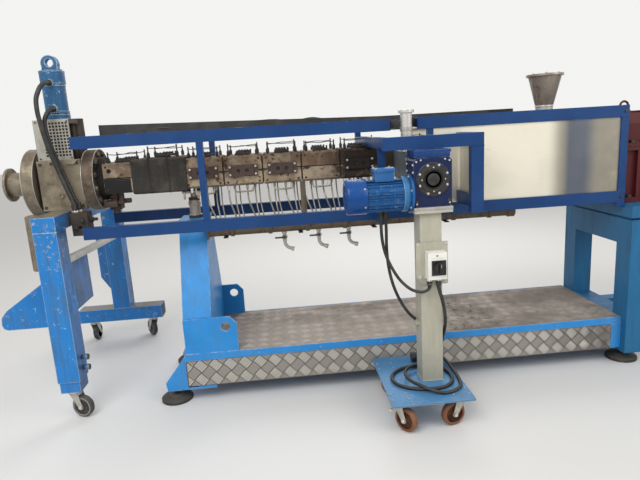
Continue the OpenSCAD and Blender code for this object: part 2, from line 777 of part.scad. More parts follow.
module stand_rear_frame() {
    placed() color("dodgerblue") {
        r0 = rear_x - leg_w / 2 - 3;
        r1 = rear_x + leg_w / 2 + 3;
        top = floor_beam_z0 + floor_beam_h;
        box(r0, r1, leg_rear, leg_rear + rear_d, top + seat_gap, stand_top - 80 - seat_gap);
        // Floor beam, and the brace between it and the leg
        box(beam_x - floor_beam_len / 2, beam_x + floor_beam_len / 2, leg_rear,
            leg_rear + rear_d, floor_beam_z0, top);
        along_y(leg_rear + 10, leg_rear + 22) polygon([[r0 - seat_gap, top + seat_gap + 150],
            [r0 - 62, top + 250], [r0 - 62, 860], [r0 - seat_gap, 900]]);
        // Top beam that carries the head
        box(leg_x0, leg_x1, -leg_front, leg_rear + rear_d, stand_top - 80, stand_top);
        for (i = [1, 2]) caster_seat(stand_casters[i], stand_fork_top, floor_beam_z0 - seat_gap);
    }
}

module stand_side_arm() {
    placed() color("dodgerblue") {
        y = -leg_front + leg_d;
        x = leg_x0 - seat_gap;
        tip = leg_x0 - arm_reach;
        along_y(y - 24, y - 6) polygon([[x, 521], [tip + 32, 521], [tip + 9, 529], [tip, 552],
            [tip + 4, 594], [tip + 38, 633], [x, 800]]);
        // Web plate behind the leg, and the round stay across to the rear leg
        box(leg_x - 6, leg_x + 6, y + seat_gap, 100, 562, 842);
        intersection() {
            strut([leg_x1 - 28, y - 10, 884], [leg_x1 - 28, leg_rear + 10, 846], 21);
            box(leg_x0, leg_x1 + 20, y + seat_gap, leg_rear - seat_gap, 700, 1100);
        }
    }
}

module guard_bar_x(x0, x1, z0, z1) {
    box(x0, x1, -guard_y, -guard_y + rail_d, z0, z1);
}

module guard_front_frame() {
    placed() color("mediumblue") {
        guard_bar_x(guard_x0, guard_x1, guard_low, rail_low_top);
        guard_bar_x(guard_x0, gap_x0, rail_top_low, guard_top);
        guard_bar_x(gap_x1, guard_x1, rail_top_low, guard_top);
        guard_bar_x(bar_x0, bar_x0 + bar_w, rail_low_top - 1, rail_top_low + 1);
        guard_bar_x(panel_x0 - 30, panel_x0, rail_low_top - 1, rail_top_low + 1);
        guard_bar_x(guard_x1 - right_post, guard_x1, bed_top - 12, rail_top_low + 1);
        // Bridge behind the gap for the feed pipe
        box(gap_x0 - 60, gap_x1 + 60, -guard_y + rail_d - 1, -guard_y + rail_d + 8,
            rail_top_low + 5, guard_top - 5);
        // Bracket to the pedestal
        box(pedestal_x1 - 40, pedestal_x1 + 8, -guard_y + rail_d - 1, -pedestal_top_d / 2 - 6.3,
            pedestal_top - 12, pedestal_top);
    }
}

module guard_rear_frame() {
    placed() color("mediumblue") mirror([0, 1, 0]) {
        guard_bar_x(guard_x0, guard_x1, guard_low, rail_low_top);
        guard_bar_x(guard_x0, guard_x1, rail_top_low, guard_top);
        guard_bar_x(bar_x0, bar_x0 + bar_w, rail_low_top - 1, rail_top_low + 1);
        guard_bar_x(bump_x0, bump_x0 + bar_w, rail_low_top - 1, rail_top_low + 1);
        guard_bar_x(panel_x0 - 30, panel_x0, rail_low_top - 1, rail_top_low + 1);
        guard_bar_x(guard_x1 - right_post, guard_x1, bed_top - 12, rail_top_low + 1);
        box(pedestal_x1 - 40, pedestal_x1 + 8, -guard_y + rail_d - 1, -pedestal_top_d / 2 - 6.3,
            pedestal_top - 12, pedestal_top);
    }
}

module guard_panels() {
    placed() color("gainsboro") both_sides()
        box(panel_x0 + seat_gap, guard_x1 - right_post - seat_gap, -guard_y + 10, -guard_y + 13,
            rail_low_top + seat_gap, rail_top_low - seat_gap);
}

module guard_bump_out() {
    placed() color("mediumblue") {
        z0 = bump_top - rail_w;
        y1 = -bump_y + rail_d;
        low = guard_low + 70;
        box(bump_x0, bump_x1, -bump_y, y1, z0, bump_top);
        box(bump_x1 - rail_w, bump_x1, -bump_y, y1, low - 20, z0 + 1);
        // Left return rail, over the barrel to the rear frame
        box(bump_x0, bump_x0 + rail_d, y1 - 1, guard_y - rail_d - seat_gap, shell_top + 4,
            bump_top);
        box(bump_x0, bump_x0 + rail_d, -bump_y + 130, -bump_y + 150, guard_low, shell_top + 5);
        box(bump_x0, bump_x0 + rail_d, -bump_y + 149, -guard_y - seat_gap, guard_low,
            rail_low_top);
        // Right return with its panel
        for (z = [low, z0])
            box(bump_x1 - rail_d, bump_x1, y1 - 1, -guard_y - seat_gap, z, z + rail_w);
        box(bump_x1 - 22, bump_x1 - 19, y1 - 1, -guard_y - seat_gap, low + rail_w - 1, z0 + 1);
    }
}

module cable_duct() {
    // The side walls slope down as far as the front panel
    x0 = guard_x0 - 20;
    low = guard_top + seat_gap;
    y = guard_y - rail_d;
    placed() color("darkslategray") {
        box(x0, duct_x1, y, y + 80, low, low + 3);
        for (w = [y, y + 77]) {
            along_y(w, w + 3) polygon([[x0, low + 3 + seat_gap], [duct_knee, low + 3 + seat_gap],
                [duct_knee, guard_top + 27], [x0, guard_top + 70]]);
            box(duct_knee + seat_gap, duct_x1, w, w + 3, low + 3 + seat_gap, guard_top + 27);
        }
    }
}

valve_count = 16;
function valve_x(i) = pedestal_x1 + 70 + i * (manifold_len - 120) / (valve_count - 1);
manifold_y = -pedestal_top_d / 2 - 10;

module cooling_manifold() {
    placed() color("rosybrown") {
        rod_x(pedestal_x1 + 8, pedestal_x1 + manifold_len, manifold_y, manifold_h, manifold_d / 2);
        rod_x(pedestal_x1 + manifold_len - 1, pedestal_x1 + manifold_len + 30, manifold_y,
            manifold_h, manifold_d / 2 + 7);
        // Clamp plate on the pedestal, and hangers from the barrel's flanges
        box(pedestal_x1 + seat_gap, pedestal_x1 + 9, manifold_y - 40, manifold_y + 60,
            manifold_h - 40, manifold_h + 40);
        for (k = [5, 9])
            box(section_x(k) - 16, section_x(k) + 16, manifold_y + 2, manifold_y + 8,
                manifold_h + manifold_d / 2 - 6, axis_h - shell_h / 2 - seat_gap);
    }
}

module cooling_valves() {
    placed() color("silver") {
        z = manifold_h + manifold_d / 2 + seat_gap;
        for (i = [0 : valve_count - 1]) {
            x = valve_x(i);
            rod_z(z, z + 34, x, manifold_y, 8, $fn = 16);
            rod_y(manifold_y - 14, manifold_y + 12, x, z + 17, 12, $fn = 16);
            box(x - 4, x + 34, manifold_y - 18, manifold_y - 13, z + 12, z + 22);
        }
        for (x = [616, 820, 1000])
            rod_z(manifold_h - manifold_d / 2 - 62, manifold_h - manifold_d / 2 - seat_gap,
                x, manifold_y, 10, $fn = 16);
    }
}

module cooling_tubes() {
    placed() color("lightgray") {
        z = manifold_h + manifold_d / 2 + 35;
        for (i = [0 : valve_count - 1]) {
            strut([valve_x(i), manifold_y, z], [valve_x(i) - 26, manifold_y + 24,
                shell_bottom - 21.2], 5, $fn = 16);
            rod_z(shell_bottom - 20, shell_bottom - seat_gap, valve_x(i) - 26, manifold_y + 24, 8.5,
                $fn = 16);
        }
    }
}

module side_feeder() {
    placed() color("lightsteelblue") {
        // Gear housing behind the worm gearbox, then the screw barrel into the extruder
        box(feeder_x - 85, feeder_x + 85, -gearbox_back + seat_gap, -gearbox_back + 60,
            output_h - 95, output_h + 120);
        box(feeder_x - 62, feeder_x + 62, -gearbox_back + 59, -core_w / 2 - 12 - seat_gap,
            output_h - 30, axis_h + 60);
        // Inlet pipe with its flange
        difference() {
            union() {
                rod_z(axis_h + 59, inlet_top, feeder_x - 42, -guard_y - 45, 31);
                rod_z(inlet_top - 14, inlet_top, feeder_x - 42, -guard_y - 45, 42);
            }
            rod_z(inlet_top - 120, inlet_top + 1, feeder_x - 42, -guard_y - 45, 26);
        }
    }
}

module feeder_gearbox() {
    placed() color("darkblue") {
        along_y(-gearbox_front + 8, -gearbox_back) polygon([
            [gearbox_x0, gearbox_low + 14], [gearbox_x0 + 14, gearbox_low],
            [gearbox_x1 - 14, gearbox_low], [gearbox_x1, gearbox_low + 14],
            [gearbox_x1, gearbox_low + gearbox_h - 14],
            [gearbox_x1 - 14, gearbox_low + gearbox_h],
            [gearbox_x0 + 14, gearbox_low + gearbox_h],
            [gearbox_x0, gearbox_low + gearbox_h - 14]]);
        rod_y(-gearbox_front, -gearbox_front + 9, feeder_x, output_h, 82);
        for (a = [22.5 : 45 : 360])
            rod_y(-gearbox_front - 6, -gearbox_front + 1, feeder_x + 73 * cos(a),
                output_h + 73 * sin(a), 6, $fn = 6);
        // Cap on top
        box(gearbox_x0 + 7, gearbox_x1 - 7, -gearbox_front + 14, -gearbox_back - 6,
            gearbox_low + gearbox_h + seat_gap, gearbox_low + gearbox_h + 36);
    }
}

module feeder_motor() {
    placed() color("dodgerblue") {
        x1 = gearbox_x0 - seat_gap;
        x0 = x1 - motor_len;
        r = motor_d / 2;
        rod_x(x1 - 14, x1, -post_y, worm_h, r + 8);
        rod_x(x1 - 50, x1 - 14 - seat_gap, -post_y, worm_h, r - 1);
        // Finned housing
        along_x(x0 + 110, x1 - 50 - seat_gap) translate([-post_y, worm_h]) {
            circle(r = r - 8);
            for (a = [0 : 15 : 345]) rotate(a) translate([-1.5, r - 11]) square([3, 9]);
        }
        rod_x(x0, x0 + 110 - seat_gap, -post_y, worm_h, r);
        box(x1 - 190, x1 - 84, -post_y - 50, -post_y + 50, worm_h + r - 1.7, worm_h + r + 48);
        // Cable glands under the motor
        for (lead_end = [motor_lead[0], clamp_lead[0]])
            rod_z(lead_end[2] + seat_gap, worm_h - r + 1.7, lead_end[0], lead_end[1], 11);
    }
}

module feeder_post() {
    placed() color("beige") {
        h = post_w / 2;
        top = gearbox_low - head_plate_t - seat_gap;
        box(post_x - h, post_x + h, -post_y - h, -post_y + h, dolly_top + seat_gap,
            top - seat_gap);
        box(gearbox_x0, gearbox_x1, -gearbox_front - 4, -gearbox_back, top,
            gearbox_low - seat_gap);
        // Switch plate on the post's front
        along_y(-switch_y - 6, -switch_y - seat_gap) polygon([[post_x - 79, 742],
            [post_x - 45, 702], [post_x + 84, 702], [post_x + 84, 922], [post_x - 79, 922]]);
        // Cable clamp on the post's left side
        box(post_x - h - 22, post_x - h - seat_gap, -post_y - 12, -post_y + 32, 471, 491);
    }
}

module switch_box() {
    placed() color("white") {
        y = switch_y + 6 + seat_gap;
        difference() {
            union() {
                box(switch_x - 48, switch_x + 48, -y - 52, -y, 740, 878);
                box(knob_x - 38, knob_x + 34, -y - 55, -y - 51, knob_h - 38, knob_h + 38);
            }
            rod_y(-y - 56, -y - 20, knob_x, knob_h, 6 + running_gap);
        }
        for (lead_end = [motor_lead[len(motor_lead) - 1], supply_lead[0]])
            rod_z(lead_end[2] + seat_gap, 741, lead_end[0], lead_end[1], 13);
    }
}

module switch_knob() {
    placed() color("black") {
        y = switch_y + 6 + seat_gap + 55;
        rod_y(-y - 20, -y - seat_gap, knob_x, knob_h, 28);
        box(knob_x - 7, knob_x + 7, -y - 34, -y - 19, knob_h - 26, knob_h + 26);
        rod_y(-y - 1, -y + 33, knob_x, knob_h, 6);
    }
}

module dolly_plate() {
    placed() color("deepskyblue") {
        box(dolly_x0, dolly_x0 + dolly_len, -dolly_front, -dolly_back, dolly_top - dolly_t,
            dolly_top);
        for (c = dolly_casters) caster_seat(c, fork_top, dolly_top - dolly_t);
    }
}

module caster_fork(c, top) {
    placed() color("silver") translate([c[0], c[1], 0]) rotate([0, 0, c[2]]) {
        w = wheel_w / 2 + 5;
        rod_z(top - 10 - seat_gap, top - seat_gap, 0, 0, 30);
        for (s = [-1, 1])
            translate([0, s * (w + 1.5) + 1.5, 0]) rotate([90, 0, 0]) linear_extrude(3)
                polygon([[-28, top - 10], [28, top - 10], [caster_trail + 14, wheel_r - 4],
                    [caster_trail + 6, wheel_r - 14], [caster_trail - 6, wheel_r - 14],
                    [caster_trail - 14, wheel_r - 4]]);
        translate([-28, -w - 3, top - 13]) cube([56, 2 * w + 6, 3.2]);
        rod_y(-w - 5, w + 5, caster_trail, wheel_r, axle_d / 2);
    }
}

module caster_wheel(c) {
    placed() color("saddlebrown") translate([c[0], c[1], 0]) rotate([0, 0, c[2]])
        translate([caster_trail, 0, wheel_r]) rotate([90, 0, 0]) rotate_extrude()
            polygon([[axle_d / 2 + running_gap, -wheel_w / 2 - 3],
                [14, -wheel_w / 2 - 3], [16, -10], [wheel_r - 18, -10],
                [wheel_r - 16, -wheel_w / 2], [wheel_r - 5, -wheel_w / 2],
                [wheel_r, -wheel_w / 2 + 7], [wheel_r, wheel_w / 2 - 7],
                [wheel_r - 5, wheel_w / 2], [wheel_r - 16, wheel_w / 2], [wheel_r - 18, 10],
                [16, 10], [14, wheel_w / 2 + 3], [axle_d / 2 + running_gap, wheel_w / 2 + 3]]);
}

module motor_cables() {
    placed() color("black") {
        lead(motor_lead, cable_d);
        lead(clamp_lead, cable_d);
    }
}

module supply_cable() {
    placed() color("black") lead(supply_lead, supply_d);
}

module supply_plug() {
    placed() color("black") {
        plug = supply_lead[len(supply_lead) - 1];
        rod_x(plug[0] - 70, plug[0] - seat_gap, plug[1], plug[2], 25);
        rod_x(plug[0] - 116, plug[0] - 69, plug[1], plug[2], 28);
    }
}

base_frame();
deck_plate();
deck_edges();
skirt_plates();
levelling_pads();
barrel_pedestal();
pedestal_lugs();
barrel_jack();
drive_frame();
gear_unit();
coupling_guard();
main_motor();
barrel();
heater_shells();
terminal_covers();
insulation_wrap();
feed_pipe();
feed_hopper();
die_head();
head_outlet();
perforated_cover();
actuator_yoke();
actuator();
actuator_hoses();
hose_block();
stand_front_leg();
stand_rear_frame();
stand_side_arm();
guard_front_frame();
guard_rear_frame();
guard_panels();
guard_bump_out();
cable_duct();
cooling_manifold();
cooling_valves();
cooling_tubes();
side_feeder();
feeder_gearbox();
feeder_motor();
feeder_post();
switch_box();
switch_knob();
dolly_plate();
motor_cables();
supply_cable();
supply_plug();
caster_fork(dolly_casters[0], fork_top);  // dolly_fork_1
caster_fork(dolly_casters[1], fork_top);  // dolly_fork_2
caster_fork(dolly_casters[2], fork_top);  // dolly_fork_3
caster_fork(dolly_casters[3], fork_top);  // dolly_fork_4
caster_wheel(dolly_casters[0]);  // dolly_wheel_1
caster_wheel(dolly_casters[1]);  // dolly_wheel_2
caster_wheel(dolly_casters[2]);  // dolly_wheel_3
caster_wheel(dolly_casters[3]);  // dolly_wheel_4
caster_fork(stand_casters[0], stand_fork_top);  // stand_fork_1
caster_fork(stand_casters[1], stand_fork_top);  // stand_fork_2
caster_fork(stand_casters[2], stand_fork_top);  // stand_fork_3
caster_wheel(stand_casters[0]);  // stand_wheel_1
caster_wheel(stand_casters[1]);  // stand_wheel_2
caster_wheel(stand_casters[2]);  // stand_wheel_3
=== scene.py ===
import math
import random

import bpy
from mathutils import Matrix, Vector


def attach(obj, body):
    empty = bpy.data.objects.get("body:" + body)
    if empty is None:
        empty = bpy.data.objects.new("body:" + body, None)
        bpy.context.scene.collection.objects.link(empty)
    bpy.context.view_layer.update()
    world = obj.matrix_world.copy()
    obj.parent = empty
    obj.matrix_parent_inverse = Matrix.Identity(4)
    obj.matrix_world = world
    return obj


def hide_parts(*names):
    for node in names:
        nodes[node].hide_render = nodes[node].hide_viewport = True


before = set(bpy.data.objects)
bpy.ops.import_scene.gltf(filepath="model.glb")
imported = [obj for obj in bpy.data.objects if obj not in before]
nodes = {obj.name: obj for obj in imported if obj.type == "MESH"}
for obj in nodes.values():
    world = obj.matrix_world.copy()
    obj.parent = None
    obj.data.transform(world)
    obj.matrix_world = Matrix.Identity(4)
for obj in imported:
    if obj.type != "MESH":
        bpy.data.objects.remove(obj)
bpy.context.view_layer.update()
machineBody = "machine"
print("frame loaded:", len(nodes), "nodes")


# part.scad measures from the deck's left end and the barrel's axis, in millimetres
originX, originY = 1602.75, 5.25


def at(x, y, z):
    return Vector(((x - originX) / 1000, (y - originY) / 1000, z / 1000))


photoCamera = {
    "place": at(600, -3205, 1500),
    "lens": 29.70,
    "yaw": 4.155, "pitch": 11.731, "roll": 3.391,
}


def addCamera(values):
    yaw, pitch, roll = (math.radians(values[k]) for k in ("yaw", "pitch", "roll"))
    forward = Vector((math.sin(yaw) * math.cos(pitch), math.cos(yaw) * math.cos(pitch),
                      -math.sin(pitch)))
    level = Vector((math.cos(yaw), -math.sin(yaw), 0))
    below = forward.cross(level)
    right = math.cos(roll) * level + math.sin(roll) * below
    down = -math.sin(roll) * level + math.cos(roll) * below
    turn = Matrix((right, -down, -forward)).transposed()
    data = bpy.data.cameras.new("photoCamera")
    data.lens = values["lens"]
    data.sensor_width = 36
    data.clip_start, data.clip_end = 0.05, 60
    camera = bpy.data.objects.new("photoCamera", data)
    bpy.context.scene.collection.objects.link(camera)
    camera.matrix_world = Matrix.Translation(values["place"]) @ turn.to_4x4()
    bpy.context.scene.camera = camera


addCamera(photoCamera)


# what every material is made of: small helpers for shader trees
def addNode(tree, kind, sockets=None, **settings):
    made = tree.nodes.new(kind)
    for key, value in settings.items():
        setattr(made, key, value)
    for key, value in (sockets or {}).items():
        if isinstance(value, bpy.types.NodeSocket):
            tree.links.new(value, made.inputs[key])
        else:
            made.inputs[key].default_value = value
    return made


def mixColor(tree, amount, first, second, blend="MIX"):
    return addNode(tree, "ShaderNodeMix", {0: amount, 6: first, 7: second},
                   data_type="RGBA", blend_type=blend).outputs[2]


def calc(tree, operation, first, second=0.0, clamp=False):
    return addNode(tree, "ShaderNodeMath", {0: first, 1: second},
                   operation=operation, use_clamp=clamp).outputs[0]


def times(tree, first, second, clamp=False):
    return calc(tree, "MULTIPLY", first, second, clamp)


def plus(tree, first, second, clamp=False):
    return calc(tree, "ADD", first, second, clamp)


def minus(tree, first, second, clamp=False):
    return calc(tree, "SUBTRACT", first, second, clamp)


def fade(tree, value, low, high):
    return addNode(tree, "ShaderNodeMapRange", {"Value": value, 1: low, 2: high},
                   interpolation_type="SMOOTHSTEP").outputs[0]


def grain(tree, where, scale, detail=4.0, rough=0.6):
    return addNode(tree, "ShaderNodeTexNoise", {"Vector": where, "Scale": scale,
                   "Detail": detail, "Roughness": rough}).outputs[0]


def scaledPlace(tree, scale):
    where = addNode(tree, "ShaderNodeTexCoord").outputs["Object"]
    return addNode(tree, "ShaderNodeVectorMath", {0: where, "Scale": scale},
                   operation="SCALE").outputs[0]


def stretched(tree, where, scales):
    return addNode(tree, "ShaderNodeMapping", {"Vector": where, "Scale": scales}).outputs[0]


# what each finish takes, with its usual value; a colour is three numbers
groupInputs = {
    "wornPaint": {"Paint": (0.1, 0.4, 0.7), "Bare": (0.5, 0.5, 0.48), "Dirt": (0.25, 0.2, 0.15),
                  "Wear": 0.3, "Grime": 0.3, "Gloss": 0.4, "Scale": 1.0},
    "stainedMetal": {"Metal": (0.6, 0.6, 0.6), "Stain": (0.3, 0.22, 0.15), "Rust": (0.25, 0.09, 0.03),
                     "Stained": 0.4, "Rusty": 0.2, "Gloss": 0.35, "Scale": 1.0, "Brushed": 1.0,
                     "Shine": 0.8},
    "dustyPlastic": {"Base": (0.05, 0.05, 0.05), "Dust": (0.45, 0.42, 0.38), "Dusty": 0.3,
                     "Gloss": 0.5, "Scale": 1.0},
}
groupOutputs = ("Color", "Roughness", "Metallic", "Height")


def socketValue(value):
    return (*value, 1) if isinstance(value, tuple) else value


def newGroup(name):
    tree = bpy.data.node_groups.new(name, "ShaderNodeTree")
    for label, value in groupInputs[name].items():
        kind = "NodeSocketColor" if isinstance(value, tuple) else "NodeSocketFloat"
        socket = tree.interface.new_socket(label, in_out="INPUT", socket_type=kind)
        socket.default_value = socketValue(value)
    for label in groupOutputs:
        kind = "NodeSocketColor" if label == "Color" else "NodeSocketFloat"
        tree.interface.new_socket(label, in_out="OUTPUT", socket_type=kind)
    return tree, tree.nodes.new("NodeGroupInput").outputs, tree.nodes.new("NodeGroupOutput")


def hand(tree, out, *results):
    for key, value in zip(groupOutputs, results):
        if isinstance(value, bpy.types.NodeSocket):
            tree.links.new(value, out.inputs[key])
        else:
            out.inputs[key].default_value = value


def edgeMask(tree):
    soft = addNode(tree, "ShaderNodeBevel", {"Radius": 0.007}, samples=4).outputs[0]
    flat = addNode(tree, "ShaderNodeNewGeometry").outputs["Normal"]
    match = addNode(tree, "ShaderNodeVectorMath", {0: soft, 1: flat}, operation="DOT_PRODUCT")
    return fade(tree, match.outputs["Value"], 0.995, 0.80)


# paint over steel: chips along edges, smears and vertical runs of dirt
def buildWornPaint():
    tree, given, out = newGroup("wornPaint")
    scaled = scaledPlace(tree, given["Scale"])
    broad = grain(tree, scaled, 3.1)
    middle = grain(tree, scaled, 17.0, 6.0, 0.7)
    fine = grain(tree, scaled, 120.0, 3.0)
    runs = grain(tree, stretched(tree, scaled, (1, 1, 0.12)), 26.0, 5.0, 0.65)
    edges = edgeMask(tree)
    field = plus(tree, times(tree, middle, 0.62), times(tree, fine, 0.38))
    limit = minus(tree, 0.74, times(tree, given["Wear"], 0.16))
    worn = plus(tree, field, times(tree, edges, times(tree, given["Wear"], 0.34)))
    chips = fade(tree, minus(tree, worn, limit), 0.0, 0.02)
    smear = fade(tree, plus(tree, times(tree, broad, 0.5), times(tree, runs, 0.5)), 0.44, 0.66)
    dirty = times(tree, smear, given["Grime"], True)
    shade = mixColor(tree, 1.0, given["Paint"], mixColor(tree, fade(tree, broad, 0.3, 0.7),
                     (0.86, 0.86, 0.86, 1), (1.12, 1.12, 1.12, 1)), "MULTIPLY")
    color = mixColor(tree, dirty, shade, given["Dirt"])
    color = mixColor(tree, chips, color, given["Bare"])
    rough = plus(tree, given["Gloss"], times(tree, dirty, 0.35), True)
    rough = plus(tree, rough, times(tree, minus(tree, middle, 0.5), 0.25), True)
    height = minus(tree, times(tree, fine, 0.12), chips)
    hand(tree, out, color, rough, times(tree, chips, 0.6), height)
    return tree


# bare metal: rolled grain, stains and rust in patches
def buildStainedMetal():
    tree, given, out = newGroup("stainedMetal")
    scaled = scaledPlace(tree, given["Scale"])
    broad = grain(tree, scaled, 5.0, 5.0, 0.6)
    patches = grain(tree, scaled, 13.0, 7.0, 0.72)
    fine = grain(tree, scaled, 150.0, 3.0)
    lines = grain(tree, stretched(tree, scaled, (1.0, 1.0, 9.0)), 40.0, 4.0, 0.7)
    stainField = plus(tree, times(tree, broad, 0.55), times(tree, patches, 0.45))
    stained = times(tree, fade(tree, stainField, 0.40, 0.62), given["Stained"], True)
    rustField = plus(tree, times(tree, patches, 0.7), times(tree, fine, 0.3))
    rustLimit = minus(tree, 0.72, times(tree, given["Rusty"], 0.3))
    rust = fade(tree, minus(tree, rustField, rustLimit), 0.0, 0.06)
    color = mixColor(tree, given["Brushed"], given["Metal"], mixColor(tree, fade(tree, lines, 0.3, 0.7),
                     (0.88, 0.88, 0.88, 1), (1.15, 1.15, 1.15, 1)), "MULTIPLY")
    color = mixColor(tree, stained, color, given["Stain"])
    color = mixColor(tree, rust, color, given["Rust"])
    dull = calc(tree, "MAXIMUM", stained, rust)
    rough = plus(tree, given["Gloss"], times(tree, dull, 0.4), True)
    streak = times(tree, minus(tree, lines, 0.5), given["Brushed"])
    rough = plus(tree, rough, times(tree, streak, 0.3), True)
    height = plus(tree, times(tree, streak, 0.25), times(tree, rust, 0.5))
    hand(tree, out, color, rough, minus(tree, given["Shine"], times(tree, dull, 0.7), True), height)
    return tree


# moulded plastic and rubber: fine grain with settled dust
def buildDustyPlastic():
    tree, given, out = newGroup("dustyPlastic")
    scaled = scaledPlace(tree, given["Scale"])
    broad = grain(tree, scaled, 9.0, 5.0, 0.65)
    fine = grain(tree, scaled, 260.0, 2.0)
    up = addNode(tree, "ShaderNodeSeparateXYZ",
                 {0: addNode(tree, "ShaderNodeNewGeometry").outputs["Normal"]}).outputs[2]
    settled = times(tree, fade(tree, up, 0.1, 1.0), 0.7)
    dusty = times(tree, plus(tree, fade(tree, broad, 0.42, 0.7), settled, True),
                 given["Dusty"], True)
    color = mixColor(tree, dusty, given["Base"], given["Dust"])
    rough = plus(tree, given["Gloss"], times(tree, dusty, 0.5), True)
    hand(tree, out, color, rough, 0.0, times(tree, fine, 0.3))
    return tree


groups = {"wornPaint": buildWornPaint(), "stainedMetal": buildStainedMetal(),
          "dustyPlastic": buildDustyPlastic()}


treadSquare = 60.0


# colour that changes along an axis or on upward faces: (axis, rise, fall, colour, speck);
# "squares" gives every other square of the tread a tone, a painted sheen of the differently turned bars:
# (place, turn, colour, axes)
def tinted(tree, color, changes):
    if not changes:
        return color
    where = addNode(tree, "ShaderNodeTexCoord").outputs["Object"]
    parts = addNode(tree, "ShaderNodeSeparateXYZ", {0: where}).outputs
    normal = addNode(tree, "ShaderNodeSeparateXYZ",
                     {0: addNode(tree, "ShaderNodeNewGeometry").outputs["Normal"]}).outputs
    sources = {"X": parts[0], "Y": parts[1], "Z": parts[2], "up": normal[2], "right": normal[0]}
    for axis, rise, fall, shade, speck in changes:
        if axis == "squares":
            diagonal = addNode(tree, "ShaderNodeMapping", {"Vector": where, "Location": rise,
                               "Rotation": fall, "Scale": speck}).outputs[0]
            squares = addNode(tree, "ShaderNodeTexChecker",
                              {"Vector": diagonal, "Scale": 1000 / treadSquare})
            color = mixColor(tree, times(tree, squares.outputs["Fac"], 0.8), color, (*shade, 1))
            continue
        share = fade(tree, sources[axis], *rise)
        if fall:
            share = times(tree, share, fade(tree, sources[axis], fall[1], fall[0]))
        if speck:
            spots = grain(tree, where, speck[0], 6.0, 0.7)
            share = times(tree, share, fade(tree, spots, speck[1], speck[2]))
        color = mixColor(tree, share, color, (*shade, 1))
    return color


def makeMaterial(name, groupName, values, bump, rounded, specular):
    material = bpy.data.materials.new(name)
    material.use_nodes = True
    tree = material.node_tree
    shader = tree.nodes["Principled BSDF"]
    group = addNode(tree, "ShaderNodeGroup", node_tree=groups[groupName])
    for key, value in zip(groupInputs[groupName], values):
        group.inputs[key].default_value = socketValue(value)
    color = tinted(tree, group.outputs["Color"], tints.get(name, ()))
    tree.links.new(color, shader.inputs["Base Color"])
    tree.links.new(group.outputs["Roughness"], shader.inputs["Roughness"])
    tree.links.new(group.outputs["Metallic"], shader.inputs["Metallic"])
    raised = addNode(tree, "ShaderNodeBump", {"Height": group.outputs["Height"],
                     "Distance": bump, "Strength": 0.6})
    edges = addNode(tree, "ShaderNodeBevel", {"Radius": rounded}, samples=4)
    tree.links.new(edges.outputs[0], raised.inputs["Normal"])
    tree.links.new(raised.outputs[0], shader.inputs["Normal"])
    shader.inputs["Specular IOR Level"].default_value = specular
    return material


